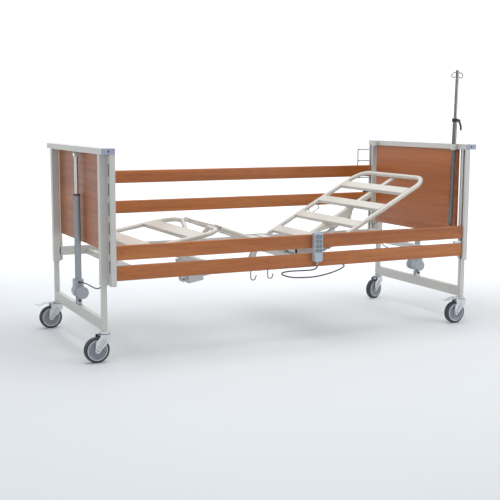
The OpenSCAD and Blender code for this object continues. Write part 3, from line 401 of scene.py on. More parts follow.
class Bench:
    """Where the bed stands in the frame, and how its pieces are put there."""

    def __init__(self) -> None:
        """Finds the bed's middle between the outer faces of its end frames and caps."""
        foot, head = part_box("foot_end_frame"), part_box("head_end_frame")
        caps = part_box("end_caps")
        self.origin = np.array([(foot[0].x + head[1].x) / 2, (caps[0].y + caps[1].y) / 2, 0.0])

    def at(self, points: object) -> np.ndarray:
        """Turns millimetres in the bed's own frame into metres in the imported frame."""
        return np.asarray(points, float) * MM + self.origin

    def mesh(self, name: str, points: np.ndarray, faces: list, finish: Finish,
             smooth: float = 35.0) -> bpy.types.Object:
        """Makes a mesh object from points in the bed's frame.

        Args:
            name: the piece's name.
            points: an array of points in millimetres.
            faces: lists of point numbers, turned outwards.
            finish: what it is made of.
            smooth: edges flatter than this many degrees are shaded smooth.

        Returns:
            The object, at the origin.
        """
        data = bpy.data.meshes.new(name)
        data.from_pydata(self.at(points.reshape(-1, 3)).tolist(), [], faces)
        data.polygons.foreach_set("use_smooth", np.ones(len(data.polygons), bool))
        data.set_sharp_from_angle(angle=math.radians(smooth))
        data.materials.append(finish.material())
        made = bpy.data.objects.new(name, data)
        bpy.context.scene.collection.objects.link(made)
        return made

    def grid(self, name: str, points: np.ndarray, finish: Finish, smooth: float = 35.0) -> bpy.types.Object:
        """Makes a closed tube-like piece from rings of points, with a flat cap at each end.

        Args:
            name: the piece's name.
            points: rings x points per ring x 3, each ring turning clockwise seen from the last ring.
            finish: what it is made of.
            smooth: as for mesh().

        Returns:
            The object.
        """
        return self.mesh(name, points, ring_faces(*points.shape[:2]), finish, smooth)

    def fix(self, name: str, parts: list, finish: Finish, body: str, slot: str, loop: bool = False,
            smooth: float = 35.0) -> bpy.types.Object:
        """Makes one piece from several closed forms and lets it ride on a body.

        Args:
            name: the piece's name.
            parts: arrays of rings x points x 3.
            finish: what it is made of.
            body: the body that carries it.
            slot: not used.
            loop: True if each form's rings run round into themselves.
            smooth: as for mesh().

        Returns:
            The object.
        """
        faces, start = [], 0
        for part in parts:
            listed = (loop_faces if loop else ring_faces)(*part.shape[:2])
            faces += [[start + v for v in face] for face in listed]
            start += part.shape[0] * part.shape[1]
        points = np.concatenate([part.reshape(-1, 3) for part in parts])
        made = self.mesh(name, points, faces, finish, smooth)
        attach(made, body)
        return made


def loop_faces(rings: int, around: int) -> list:
    """Lists the quads of a closed loop of rings: ring i and i + 1, point j and j + 1, both running round."""
    i, j = np.meshgrid(np.arange(rings), np.arange(around), indexing="ij")
    n, k = (i + 1) % rings, (j + 1) % around
    quads = np.stack([i * around + j, i * around + k, n * around + k, n * around + j], -1)
    return quads.reshape(-1, 4).tolist()


def ring_faces(rings: int, around: int) -> list:
    """Lists a tube's faces: quads between ring i and i + 1, point j and j + 1, and a cap at each end."""
    i, j = np.meshgrid(np.arange(rings - 1), np.arange(around), indexing="ij")
    k = (j + 1) % around
    quads = np.stack([i * around + j, i * around + k, (i + 1) * around + k, (i + 1) * around + j], -1)
    first = [list(range(around))[::-1]]
    last = [list(range((rings - 1) * around, rings * around))]
    return quads.reshape(-1, 4).tolist() + first + last


def lathe(profile: list[tuple[float, float]], around: int = 64) -> np.ndarray:
    """Turns a profile of (radius, height) about +Z: ring i is radius_i (cos t, sin t) at height_i.

    Args:
        profile: points from the bottom up.
        around: points per ring.

    Returns:
        Rings x around x 3.
    """
    r, z = np.array(profile, float).T
    t = np.linspace(0, 2 * math.pi, around, endpoint=False)
    return np.stack([np.outer(r, np.cos(t)), np.outer(r, np.sin(t)), np.repeat(z[:, None], around, 1)], -1)


def turned(points: np.ndarray, axis: str, degrees: float) -> np.ndarray:
    """Turns points about an axis through the origin."""
    return points @ np.array(Matrix.Rotation(math.radians(degrees), 3, axis)).T


def swept(path: np.ndarray, radius: float, around: int = 16) -> np.ndarray:
    """Carries a circle along a path: each ring stands square to the path's direction, without twisting.

    Args:
        path: points of the middle line.
        radius: one radius for the whole path.
        around: points per ring.

    Returns:
        Rings x around x 3.
    """
    direction = np.gradient(path, axis=0)
    direction /= np.linalg.norm(direction, axis=1)[:, None]
    side = np.cross(direction[0], [0, 0, 1] if abs(direction[0][2]) < 0.9 else [1, 0, 0])
    rings = []
    t = np.linspace(0, 2 * math.pi, around, endpoint=False)
    for centre, d in zip(path, direction):
        side = side - (side @ d) * d
        side /= np.linalg.norm(side)
        up = np.cross(d, side)
        rings.append(centre + radius * (np.outer(np.cos(t), side) + np.outer(np.sin(t), up)))
    return np.array(rings)


def rounded_section(width: float, height: float, radius: float, corner: int = 5) -> np.ndarray:
    """Gives a rectangle with round corners, anticlockwise: four quarter circles about the inset corners.

    Args:
        width: size along the first axis.
        height: size along the second axis.
        radius: corner radius.
        corner: points per corner.

    Returns:
        Points x 2.
    """
    t = np.linspace(0, math.pi / 2, corner)
    parts = []
    for k, (sx, sy) in enumerate([(1, 1), (-1, 1), (-1, -1), (1, -1)]):
        a = t + k * math.pi / 2
        parts.append(np.stack([sx * (width / 2 - radius) + radius * np.cos(a),
                               sy * (height / 2 - radius) + radius * np.sin(a)], -1))
    return np.concatenate(parts)


def pillow_box(size: tuple[float, float, float], radius: float, crown: float, edge: float) -> np.ndarray:
    """Gives a rounded box on z = 0: a rounded rectangle drawn in at both ends by a quarter ellipse.

    Args:
        size: width, depth and height.
        radius: corner radius in plan.
        crown: how far the ends' edges are rounded along z.
        edge: how far the outline draws in at the ends.

    Returns:
        Rings x points x 3.
    """
    width, depth, height = size
    t = np.linspace(0, math.pi / 2, 6)
    low = [(edge * (1 - math.sin(a)), crown * (1 - math.cos(a))) for a in t]
    steps = low + [(inset, height - z) for inset, z in low[::-1]]
    rings = []
    for inset, z in steps:
        section = rounded_section(width - 2 * inset, depth - 2 * inset, max(radius - inset, 0.6))
        rings.append(np.column_stack([section, np.full(len(section), z)]))
    return np.array(rings)


def toward(points: np.ndarray, direction: tuple, place: tuple) -> np.ndarray:
    """Turns a form drawn about +Z to face a direction, and moves it to a place.

    Args:
        points: rings x points x 3.
        direction: where its +Z goes.
        place: where its origin goes.

    Returns:
        The moved form.
    """
    turn = np.array(Vector(direction).to_track_quat("Z", "Y").to_matrix())
    return points @ turn.T + np.array(place, float)


def dome(radius: float, height: float, around: int = 16) -> np.ndarray:
    """Gives a low dome on z = 0: rings at radius cos a and height sin a, closed on top by a tiny ring."""
    a = np.linspace(0, 1.45, 6)
    return lathe(list(zip(radius * np.cos(a), height * np.sin(a))), around)


def screw(radius: float, height: float) -> np.ndarray:
    """Gives a pan head with a round recess, standing on z = 0."""
    return lathe([(radius, 0), (radius, 0.45 * height), (0.86 * radius, 0.85 * height),
                  (0.62 * radius, height), (0.42 * radius, height), (0.4 * radius, 0.4 * height),
                  (0.05, 0.4 * height)], 24)


def frame_plate(outer: tuple[float, float], wall: float, radius: float, height: float) -> np.ndarray:
    """Gives a flat rounded frame on z = 0 as a loop: outline low and raised, inner one raised and low."""
    big = rounded_section(*outer, radius)
    small = rounded_section(outer[0] - 2 * wall, outer[1] - 2 * wall, max(radius - wall, 0.4))
    rings = [(big, 0), (big, height), (small, height), (small, 0)]
    return np.array([np.column_stack([section, np.full(len(section), z)]) for section, z in rings])


@dataclass
class Skins:
    """The frame's own nodes, copied, cleaned and given softened edges and a finish."""

    bench: Bench

    WELD = 1e-5
    FLAT = math.radians(0.6)
    SHARP = math.radians(38)

    def dress(self, names: list[str], finish: Finish, edge: float = 1.0,
              patches: tuple[tuple[Finish, tuple, tuple], ...] = ()) -> None:
        """Copies nodes, merges their loose triangles and rounds their sharp edges.

        Args:
            names: the nodes.
            finish: what they are made of.
            edge: width of the rounded edge, in millimetres.
            patches: another finish for the faces whose middle lies between two corners, in millimetres.
        """
        for name in names:
            source = frame["nodes"][name]
            cleaned = bmesh.new()
            cleaned.from_mesh(source.data)
            bmesh.ops.remove_doubles(cleaned, verts=cleaned.verts, dist=self.WELD)
            bmesh.ops.dissolve_limit(cleaned, angle_limit=self.FLAT, verts=cleaned.verts, edges=cleaned.edges)
            data = bpy.data.meshes.new(name + "_skin")
            cleaned.to_mesh(data)
            cleaned.free()
            data.polygons.foreach_set("use_smooth", np.ones(len(data.polygons), bool))
            data.set_sharp_from_angle(angle=self.SHARP)
            data.materials.append(finish.material())
            self.patch(data, patches)
            skin = bpy.data.objects.new(name + "_skin", data)
            bpy.context.scene.collection.objects.link(skin)
            if edge > 0:
                bevel = skin.modifiers.new("edges", "BEVEL")
                bevel.width = edge * MM
                bevel.segments = 2
                bevel.limit_method = "ANGLE"
                bevel.angle_limit = self.SHARP
                bevel.harden_normals = True
                bevel.miter_outer = "MITER_ARC"
            self.give(skin, name)
        log.info("dressed %d nodes in %s", len(names), finish.name)

    def patch(self, data: bpy.types.Mesh, patches: tuple) -> None:
        """Gives some faces another finish, chosen by where their middles lie."""
        middles = np.empty(3 * len(data.polygons))
        data.polygons.foreach_get("center", middles)
        middles = middles.reshape(-1, 3)
        chosen = np.zeros(len(data.polygons), np.int32)
        for number, (finish, low, high) in enumerate(patches, 1):
            data.materials.append(finish.material())
            inside = (middles > self.bench.at(low)).all(1) & (middles < self.bench.at(high)).all(1)
            chosen[inside] = number
        data.polygons.foreach_set("material_index", chosen)

    @staticmethod
    def give(piece: bpy.types.Object, name: str) -> None:
        """Makes a piece stand for a node: it rides on the node's body, and the node is hidden."""
        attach(piece, frame["nodes"][name]["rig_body"])
        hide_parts(name)


@dataclass(frozen=True)
class Post:
    """One corner of the bed: which end and side, where its post stands and how its caster is turned."""

    end: str
    side: str
    post_x: float = 1075.0
    post_y: float = 427.0
    far_turn: float = 18.0

    @property
    def name(self) -> str:
        """The end and side, as the node names have them."""
        return f"{self.end}_{self.side}"

    @property
    def signs(self) -> tuple[int, int]:
        """The signs of x and y."""
        return (1 if self.end == "head" else -1), (1 if self.side == "far" else -1)

    def caster(self, points: np.ndarray) -> np.ndarray:
        """Moves a form from the caster's own frame, swivel axis at the origin, to its place."""
        turn = self.far_turn if self.name == "head_far" else 0.0
        sx, sy = self.signs
        return turned(points, "Z", turn) + np.array([sx * self.post_x, sy * self.post_y, 0.0])


POSTS = [Post(end, side) for end in ("foot", "head") for side in ("near", "far")]


@dataclass
class Casters:
    """Wheels with a rubber tyre and a moulded disc, and the trim of the forks."""

    bench: Bench
    trail: float = 40.0
    axle_z: float = 62.5
    fork_top: float = 139.4
    fork_side: float = 22.0
    fork_slope: tuple[float, float] = (36.0, 56.0)
    rib_place: tuple[float, float] = (-18.0, -46.0)
    pips: int = 24
    pip_ring: float = 39.0
    tyre: tuple = ((52.0, -15.2), (56.5, -16), (59.8, -14.8), (62, -11.5), (62.45, -6), (62.5, 0),
                   (62.45, 6), (62, 11.5), (59.8, 14.8), (56.5, 16), (52.0, 15.2), (50.6, 13.5),
                   (50.6, -13.5))
    half_disc: tuple = ((50.4, 15.4), (49.2, 16.6), (46.8, 16.6), (45.8, 15.4), (45.2, 12.2), (42.5, 11),
                        (33, 10.4), (31.6, 11.8), (29.4, 11.8), (28, 10.4), (18.5, 11), (16.5, 12.5),
                        (15.4, 16.4), (13.6, 17), (5.3, 17))
    lip: tuple = ((49.9, 15.6), (49.5, 17.0), (46.0, 17.0), (45.6, 15.6))

    def wheel(self, post: Post) -> None:
        """Builds one wheel: tyre, disc and a ring of pips on each face."""
        hub = (-self.trail, 0.0, self.axle_z)
        body = node = "wheel_" + post.name

        def place(form: np.ndarray, side: int = 1) -> np.ndarray:
            """Lays a form drawn about +Z on the axle."""
            return post.caster(toward(form, (0, side, 0), hub))

        tyre = self.bench.fix(node + "_tyre", [place(lathe(self.tyre, 96))], TYRE, body, "tyre", loop=True)
        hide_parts(node)
        profile = list(self.half_disc) + [(r, -z) for r, z in self.half_disc[::-1]]
        self.bench.fix(node + "_disc", [place(lathe(profile, 96))], WHEEL_DISC, body, "tyre", loop=True,
                       smooth=28)
        pips = []
        for a in np.arange(self.pips) * math.tau / self.pips:
            for side in (-1, 1):
                centre = [self.pip_ring * math.cos(a), self.pip_ring * math.sin(a), 10.6]
                pips.append(place(dome(1.5, 1.2, 10) + np.array(centre), side))
        self.bench.fix(node + "_pips", pips, WHEEL_RIM, body, "tyre")
        lips = [place(lathe(list(self.lip), 96), side) for side in (-1, 1)]
        self.bench.fix(node + "_lips", lips, WHEEL_RIM, body, "tyre", loop=True)

    def fork(self, post: Post) -> None:
        """Adds a pressed rib, with painted crease shade along its sides, and an axle nut on each side of a
        fork, and the dark seal above it.
        """
        forms, seams = [], []
        lean = math.degrees(math.atan2(*self.fork_slope))
        x, drop = self.rib_place
        for side in (-1, 1):
            spot = np.array([x, side * (self.fork_side - 0.1), self.fork_top + drop])
            rib = toward(pillow_box((9, 58, 1.6), 4.4, 0.8, 0.8), (0, side, 0), (0, 0, 0))
            forms.append(post.caster(turned(rib, "Y", lean) + spot))
            # Painted shade: a dark strip along each side of the rib stands in for the shade in the crease
            # where it is pressed.
            for offset in (-6.2, 6.2):
                line = pillow_box((1.6, 54, 0.7), 0.8, 0.3, 0.3) + np.array([offset, 0, 0])
                line = turned(toward(line, (0, side, 0), (0, 0, 0)), "Y", lean)
                seams.append(post.caster(line + spot))
            seams.append(post.caster(toward(dome(3.6, 1.2), (0, side, 0),
                                            (-self.trail, side * (self.fork_side + 6.5), self.axle_z))))
        body = "caster_" + post.name
        # The seams piece holds the painted crease shade and a dark dome on each axle's end.
        self.bench.fix(f"fork_{post.name}_seams", seams, MOTOR_DARK, body, "dark")
        nut = lathe([(7.5, 0), (7.5, 3.4), (6.4, 4.2), (0.1, 4.2)], 6)
        nuts = [post.caster(toward(nut, (0, side, 0),
                                   (-self.trail, side * (self.fork_side + 2.4), self.axle_z)))
                for side in (-1, 1)]
        self.bench.fix(f"fork_{post.name}_nuts", nuts, ZINC, body, "zinc")
        self.bench.fix(f"fork_{post.name}_ribs", forms, ZINC, body, "zinc")
        seal = lathe([(24.6, 138.9), (26.4, 138.9), (26.4, 141.2), (24.0, 141.2)], 64)
        base = "foot_base" if post.end == "foot" else "head_base"
        self.bench.fix(f"swivel_{post.name}_seal", [post.caster(seal)], BLACK_PLASTIC, base, "dark",
                       loop=True)

    def guard(self, post: Post) -> None:
        """Adds the small black guards beside an unbraked fork's head."""
        pad = pillow_box((12, 25, 4.6), 3, 1, 1)
        forms = [post.caster(toward(pad, (0, side, 0), (-33.5, side * 17.2, 124.0))) for side in (-1, 1)]
        self.bench.fix(f"fork_{post.name}_guards", forms, BLACK_PLASTIC, "caster_" + post.name, "dark")

    def build(self) -> None:
        """Builds all four."""
        for post in POSTS:
            self.wheel(post)
            self.fork(post)
            if post.name in ("foot_near", "head_far"):
                self.guard(post)
        log.info("built %d casters", len(POSTS))


@dataclass
class EndTrim:
    """What is seen on the end frames: slots in the rail tracks, motor covers, glands, pins and cap seams."""

    bench: Bench
    track_face: float = 1057.8
    track_y: float = 473.0
    column_x: float = 1075.0
    gland_x: float = 1077.0
    can: tuple[float, float, float] = (1071.0, 62.0, 277.0)
    slot_rows: tuple[int, int, int] = (470, 960, 92)

    def tracks(self) -> None:
        """Marks each track's web with a row of dark plates, painted shade for the depth of its slots, and
        weld spots between them.
        """
        slots, spots = [], []
        for post in POSTS:
            sx, sy = post.signs
            for z in range(*self.slot_rows):
                # Painted shade: a thin black plate stands in for the dark inside of each slot.
                slot_shade = pillow_box((12, 62, 0.5), 5.5, 0.25, 0.25)
                slots.append(toward(slot_shade, (sx, 0, 0),
                                    (sx * (self.track_face - 0.1), sy * self.track_y, z)))
                between = z + self.slot_rows[2] / 2
                spots.append(toward(dome(3.0, 1.1, 12), (sx, 0, 0),
                                    (sx * (self.track_face - 0.2), sy * (self.track_y - 16), between)))
        self.bench.fix("track_slot_shade", slots, BLACK_PLASTIC, "upper_frame", "dark")
        self.bench.fix("track_welds", spots, FRAME_PAINT, "upper_frame", "frame_steel")

    def columns(self) -> None:
        """Draws each lifting column's outer tube: a round tube with eight shallow grooves along it."""
        t = np.linspace(0, math.tau, 192, endpoint=False)
        groove = 0.9 * np.clip(6 * np.cos(8 * t) - 5, 0, 1)
        radii = [17.0 - groove, 17.0 - groove, np.full_like(t, 16.4) - groove, np.full_like(t, 10.5),
                 np.full_like(t, 10.5)]
        heights = [342.2, 783.4, 784.0, 784.0, 342.2]
        tube = np.array([np.column_stack([r * np.cos(t), r * np.sin(t), np.full_like(t, z)])
                         for r, z in zip(radii, heights)])
        for end, sx in (("foot", -1), ("head", 1)):
            made = self.bench.fix(end + "_column_tube", [tube + np.array([sx * self.column_x, 0, 0])],
                                  COLUMN_METAL, end + "_base", "column", loop=True, smooth=30)
            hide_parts(end + "_lift_tube")

    def motors(self) -> None:
        """Covers each lift motor's can, and adds its gland, seams and pin heads."""
        for end, sx, sy in (("foot", -1, -1), ("head", 1, 1)):
            body = end + "_base"
            x, y, z = self.can
            cover = lathe([(31.6, -9), (32.4, -8.4), (32.4, 1), (30.6, 2.6), (27, 2.8), (25.6, 1.6),
                           (13, 1.6), (11.4, 2.8), (0.1, 2.8)], 64)
            parts = [toward(cover, (0, sy, 0), (sx * x, sy * (y - 2.6), z))]
            self.bench.fix(end + "_motor_cover", parts, MOTOR_PLASTIC, body, "motor")
            bands = [toward(lathe([(31.9, h), (32.5, h + 0.5), (32.5, h + 2.5), (31.9, h + 3)], 64),
                            (0, sy, 0), (sx * x, 0, z)) for h in (14.0, 24.0, 34.0, 44.0)]
            self.bench.fix(end + "_motor_bands", bands, MOTOR_DARK, body, "motor")
            gland = lathe([(6.4, -2), (6.4, 3), (5.4, 5), (4.6, 12), (3.9, 13), (0.1, 13)], 24)
            gland = toward(gland, (0, sy, 0), (sx * self.gland_x, sy * 28.0, 328.0))
            self.bench.fix(end + "_lead_gland", [gland], BLACK_PLASTIC, body, "dark")
            heads = [toward(lathe([(9, 0), (9, 4), (7.6, 5.2), (0.1, 5.2)], 6), (0, side, 0),
                            (sx * self.column_x, side * 20.0, 230.0)) for side in (-1, 1)]
            self.bench.fix(end + "_column_pin_heads", heads, MOTOR_DARK, body, "motor")
            collar = lathe([(17.6, 0), (18.6, 0.6), (18.6, 9), (17.6, 9.6), (11.6, 9.6), (11.6, 0)], 48)
            collar = collar + np.array([sx * self.column_x, 0, 775.0])
            self.bench.fix(end + "_column_collar", [collar], MOTOR_DARK, body, "motor", loop=True)

    def build(self) -> None:
        """Builds the lot."""
        self.tracks()
        self.columns()
        self.motors()
        log.info("trimmed the end frames")


@dataclass
class HandsetTrim:
    """The hand control's key surrounds, arrows and strain relief."""

    bench: Bench
    x: float = 68.0
    face_y: float = -513.5
    first_key_z: float = 561.0
    pitch: float = 24.0
    key: tuple[float, float] = (34.0, 14.0)
    arrow_x: float = 9.5
    bottom: tuple[float, float] = (-499.0, 430.0)

    def build(self) -> None:
        """Puts a thin frame around each key, two arrows on it and a ribbed sleeve where the cord leaves."""
        frames = []
        for i in range(4):
            z = self.first_key_z - self.pitch * i
            ring = frame_plate((self.key[0] + 5, self.key[1] + 5), 1.6, 4.4, 0.6)
            frames.append(toward(ring, (0, -1, 0), (self.x, self.face_y + 0.1, z)))
            arrows = []
            for side in (-1, 1):
                flat = np.array([[-3.2, -2.2], [3.2, -2.2], [0.01, 2.6], [-0.01, 2.6]]) * [1, -side]
                flat = flat if side < 0 else flat[::-1]
                low = np.column_stack([flat, np.zeros(4)])
                form = toward(np.array([low, low + [0, 0, 0.25]]), (0, -1, 0),
                              (self.x + side * self.arrow_x, self.face_y - 1.15, z))
                arrows.append(form)
            key = f"handset_key_{i + 1}"
            self.bench.fix(key + "_arrows", arrows, BLACK_PLASTIC, key, "dark")
        self.bench.fix("handset_key_frames", frames, MOTOR_DARK, "handset", "motor", loop=True)
        steps = [(6.6, 0), (6.6, 3)]
        for k in range(5):
            steps += [(4.6, 3.6 + 3 * k), (5.4 - 0.2 * k, 4.4 + 3 * k), (5.4 - 0.2 * k, 5.6 + 3 * k)]
        steps += [(3.7, 19.0), (0.1, 19.0)]
        relief = toward(lathe(steps, 24), (0, 0, -1), (self.x, *self.bottom))
        self.bench.fix("handset_relief", [relief], HANDSET_PLASTIC, "handset", "handset")
        log.info("trimmed the hand control")


@dataclass
class DeckTrim:
    """The rails' bolts, the control box's screws and a cable clip."""

    bench: Bench
    bolt_place: tuple[float, float] = (1004.0, 483.9)
    boards: tuple = (("upper", 535.5, 300.0), ("lower", 436.5, 225.0))

    def bolts(self) -> None:
        """Adds small bolts to the rails' ends: the near boards are down, the far ones up by their travel."""
        x, y = self.bolt_place
        for side, sy in (("near", -1), ("far", 1)):
            for level, middle, travel in self.boards:
                z = middle + (0.0 if side == "near" else travel)
                heads = [toward(screw(3.4, 1.6), (0, sy, 0), (sx * x, sy * y, z)) for sx in (-1, 1)]
                self.bench.fix(f"{side}_{level}_bolts", heads, MOTOR_DARK, f"{side}_{level}_rail", "zinc")

    def build(self) -> None:
        """Builds the lot."""
        self.bolts()
        clip = toward(pillow_box((26, 18, 9), 4, 2, 2), (0, -1, 0), (-240.0, -430.0, 401.0))
        self.bench.fix("cable_clip", [clip], BLACK_PLASTIC, "upper_frame", "dark")
        corners = [(x, -399.6, z) for x in (192.0, 318.0) for z in (400.0, 430.0)]
        screws = [toward(screw(4.0, 1.8), (0, -1, 0), corner) for corner in corners]
        self.bench.fix("control_box_screws", screws, ZINC, "upper_frame", "zinc")
        log.info("trimmed the deck")


@dataclass
class Studio:
    """Camera, floor and lights."""

    bench: Bench
    eye: tuple[float, float, float] = (-2468.9, -4812.7, 1185.3)
    yaw: float = 26.365
    pitch: float = 7.871
    roll: float = 0.263
    focal: float = 69.217
    shift: tuple[float, float] = (0.0013, -0.0024)
    paper: Paper = Paper("studio_paper")
    paper_near: float = -9000.0
    paper_bend: float = 5000.0
    paper_radius: float = 2600.0
    paper_top: float = 9000.0
    paper_sides: tuple[float, float] = (-14000.0, 16000.0)

    def camera(self) -> None:
        """Places the camera: forward is yaw from +Y to +X and pitch below the horizon, then a slight roll."""
        data = bpy.data.cameras.new("camera")
        data.lens = self.focal
        data.sensor_width = 36.0
        data.shift_x, data.shift_y = self.shift
        data.clip_end = 60.0
        made = bpy.data.objects.new("camera", data)
        yaw, pitch, roll = (math.radians(a) for a in (self.yaw, self.pitch, self.roll))
        forward = Vector((math.sin(yaw) * math.cos(pitch), math.cos(yaw) * math.cos(pitch), -math.sin(pitch)))
        level = Vector((math.cos(yaw), -math.sin(yaw), 0))
        up = level.cross(forward)
        right = math.cos(roll) * level + math.sin(roll) * up
        above = -math.sin(roll) * level + math.cos(roll) * up
        turn = Matrix((right, above, -forward)).transposed().to_4x4()
        made.matrix_world = Matrix.Translation(Vector(self.bench.at(self.eye))) @ turn
        bpy.context.scene.collection.objects.link(made)
        bpy.context.scene.camera = made

    def floor(self) -> None:
        """Lays a pale floor that curves up into a backdrop: flat, then a quarter circle, then upright."""
        flat, across = 8, 4
        arc = np.linspace(0.1, math.pi / 2, 12)
        bend, radius = self.paper_bend, self.paper_radius
        y = np.concatenate([np.linspace(self.paper_near, bend, flat), bend + radius * np.sin(arc),
                            [bend + radius]])
        z = np.concatenate([np.zeros(flat), radius * (1 - np.cos(arc)), [self.paper_top]])
        x = np.linspace(*self.paper_sides, across)
        points = np.stack([np.repeat(x[None], len(y), 0), np.repeat(y[:, None], across, 1),
                           np.repeat(z[:, None], across, 1)], -1)
        points = turned(points.reshape(-1, 3), "Z", -self.paper.turn)
        i, j = np.meshgrid(np.arange(len(y) - 1), np.arange(across - 1), indexing="ij")
        low, high = i * across + j, (i + 1) * across + j
        quads = np.stack([low, low + 1, high + 1, high], -1).reshape(-1, 4)
        floor = self.bench.mesh("studio_floor", points, quads.tolist(), self.paper, 80.0)

    def lamp(self, name: str, place: tuple, target: tuple, size: float, power: float) -> None:
        """Hangs a square soft light.

        Args:
            name: its name.
            place: where it hangs, in millimetres.
            target: what it points at.
            size: its side in metres.
            power: its power in watts.
        """
        data = bpy.data.lights.new(name, "AREA")
        data.size, data.energy = size, power
        made = bpy.data.objects.new(name, data)
        start, end = Vector(self.bench.at(place)), Vector(self.bench.at(target))
        turn = (end - start).to_track_quat("-Z", "Y").to_matrix().to_4x4()
        made.matrix_world = Matrix.Translation(start) @ turn
        bpy.context.scene.collection.objects.link(made)

    def lights(self) -> None:
        """Lights the bed softly from above and from the near left, under a bright even sky."""
        world = bpy.data.worlds.new("studio")
        world.use_nodes = True
        sky = world.node_tree.nodes["Background"]
        Tree(world.node_tree).feed(sky, {"Color": (0.95, 0.97, 1.0, 1), "Strength": 0.42})
        bpy.context.scene.world = world
        self.lamp("overhead", (-300, -300, 4300), (0, 0, 0), 4.0, 135.0)
        self.lamp("near_left", (-4200, -3800, 2600), (0, 0, 500), 2.4, 26.0)
        self.lamp("near_right", (3600, -3600, 2000), (0, 0, 500), 2.0, 52.0)
        bpy.context.scene.view_settings.view_transform = "Standard"


@dataclass
class Cords:
    """The hand control's cord and the two motor leads, on the routes that the frame gives them."""

    bench: Bench
    handset_d: float = 7.0
    lead_d: float = 6.0
    handset_route: tuple = (
        (68, -499, 428), (68, -499, 412), (65, -498, 398), (54, -494, 389), (34, -489, 385), (4, -484, 384),
        (-36, -478, 384), (-76, -468, 383), (-104, -454, 378), (-112, -440, 370), (-100, -430, 360),
        (-76, -424, 350), (-40, -420, 341), (0, -418, 336), (40, -416, 334), (80, -416, 333),
        (120, -415, 335),
        (162, -413, 340), (204, -411, 347), (246, -408, 357), (280, -402, 367), (301, -390, 374),
        (309, -374, 378), (309, -362, 381.5), (308, -356, 385.6), (308, -356, 389.6))
    foot_route: tuple = (
        (-1077, -28.4, 328), (-1077, -45, 330), (-1077, -66, 333), (-1077, -95, 336), (-1077, -140, 339),
        (-1077, -165, 340), (-1077, -190, 340), (-1077, -240, 339.5), (-1077, -265, 339.5),
        (-1077, -290, 340.5), (-1077, -335, 345), (-1077, -370, 354), (-1077, -390, 366), (-1077, -402, 379),
        (-1077, -406.6, 394))

    @staticmethod
    def smooth(points: np.ndarray, steps: int = 6) -> np.ndarray:
        """Fills a route in with a Catmull-Rom curve: a cubic per pair of points, set by its neighbours."""
        p = np.vstack([2 * points[0] - points[1], points, 2 * points[-1] - points[-2]])
        t = np.linspace(0, 1, steps, endpoint=False)[:, None]
        spans = []
        for a, b, c, d in zip(p[:-3], p[1:-2], p[2:-1], p[3:]):
            spans.append(0.5 * (2 * b + (c - a) * t + (2 * a - 5 * b + 4 * c - d) * t**2
                                + (3 * b - a - 3 * c + d) * t**3))
        return np.vstack([*spans, points[-1:]])

    def lay(self, name: str, route: tuple, diameter: float) -> None:
        """Args:
            name: the node that it stands for.
            route: its points in millimetres, from its exit.
            diameter: its diameter in millimetres.
        """
        line = self.smooth(np.array(route, float))
        piece = self.bench.grid(name + "_jacket", swept(line, diameter / 2, 14), CORD_JACKET, 60.0)
        path = self.bench.at(line)
        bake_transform(piece)
        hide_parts(name)

    def build(self) -> None:
        """Lays the three cords."""
        self.lay("handset_cord", self.handset_route, self.handset_d)
        self.lay("foot_motor_lead", self.foot_route, self.lead_d)
        head = tuple((-x, -y, z) for x, y, z in self.foot_route)
        self.lay("head_motor_lead", head, self.lead_d)


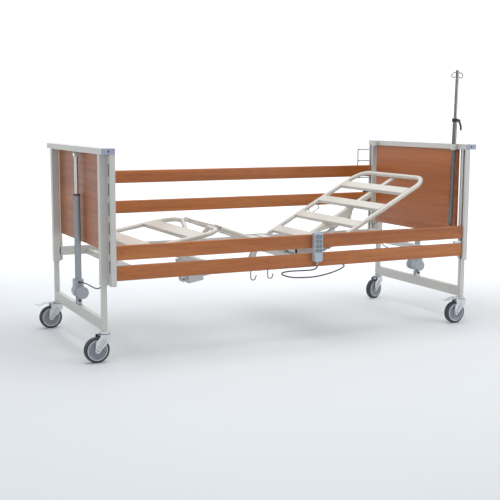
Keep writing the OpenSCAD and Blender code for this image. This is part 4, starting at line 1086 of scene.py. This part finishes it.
def dress_frame(skins: Skins) -> None:
    """Gives every node of the frame that is shown its softened edges and its finish."""
    sides = [f"{end}_{side}" for end in ("foot", "head") for side in ("near", "far")]
    rails = [f"{side}_{level}" for side in ("near", "far") for level in ("upper", "lower")]
    everywhere = 3000.0
    stems = ((ZINC, (-everywhere, -everywhere, 0), (everywhere, everywhere, 154.2)),
             (ZINC, (-everywhere, -30, 211.5), (everywhere, 30, 260)))
    skins.dress(["foot_leg_frame", "head_leg_frame"], FRAME_PAINT, 1.2, stems)
    skins.dress(["foot_end_frame", "head_end_frame", "chassis_frame"], FRAME_PAINT, 1.2)
    skins.dress(["backrest_frame", "thigh_frame", "calf_frame"], DECK_PAINT, 1.0)
    skins.dress(["foot_panel", "head_panel"], PANEL_WOOD, 1.5)
    skins.dress([f"{rail}_rail" for rail in rails], RAIL_WOOD, 0.0)
    skins.dress([f"{rail}_sliders" for rail in rails if rail.startswith("far")], BLACK_PLASTIC, 0.8)
    skins.dress([f"{rail}_sliders" for rail in rails if rail.startswith("near")], ZINC, 0.8)
    skins.dress(["end_caps"], CAP_PLASTIC, 1.5)
    skins.dress([f"button_{side}" for side in sides] + ["iv_clamp_lever"], BLACK_PLASTIC, 0.8)
    skins.dress(["foot_lift_motor", "head_lift_motor", "control_box"], MOTOR_PLASTIC, 2.0)
    skins.dress(["back_motor", "thigh_motor"], MOTOR_LIGHT, 2.0)
    skins.dress(["foot_lift_rod", "head_lift_rod", "back_rod", "thigh_rod"], CHROME, 0.5)
    collar = (BLACK_PLASTIC, (-everywhere, -everywhere, 1143), (everywhere, everywhere, 1190))
    skins.dress(["iv_pole_tube"], POLE_STEEL, 0.5, (collar,))
    skins.dress(["iv_pole_rod"], POLE_STEEL, 0.5)
    skins.dress([f"fork_{side}" for side in sides] + ["pedal_foot_far", "pedal_head_near"], ZINC, 0.7)
    skins.dress(["deck_pins", "knee_pins"], ZINC, 0.4)
    skins.dress(["mattress_loops", "drainage_hooks", "wire_rack"], WIRE, 0.0)
    skins.dress(["handset_body"], HANDSET_PLASTIC, 2.0)
    skins.dress([f"handset_key_{i}" for i in range(1, 5)], KEY_PLASTIC, 0.5)


def main() -> None:
    """Builds the scene: camera and cords first, then the dressed frame, then the fine pieces."""
    logging.basicConfig(level=logging.INFO, format="%(name)s: %(message)s")
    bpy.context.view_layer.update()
    bench = Bench()
    studio = Studio(bench)
    studio.camera()
    Cords(bench).build()
    studio.floor()
    studio.lights()
    dress_frame(Skins(bench))
    for part in (Casters(bench), EndTrim(bench), HandsetTrim(bench), DeckTrim(bench)):
        part.build()


if __name__ == "__main__":
    main()
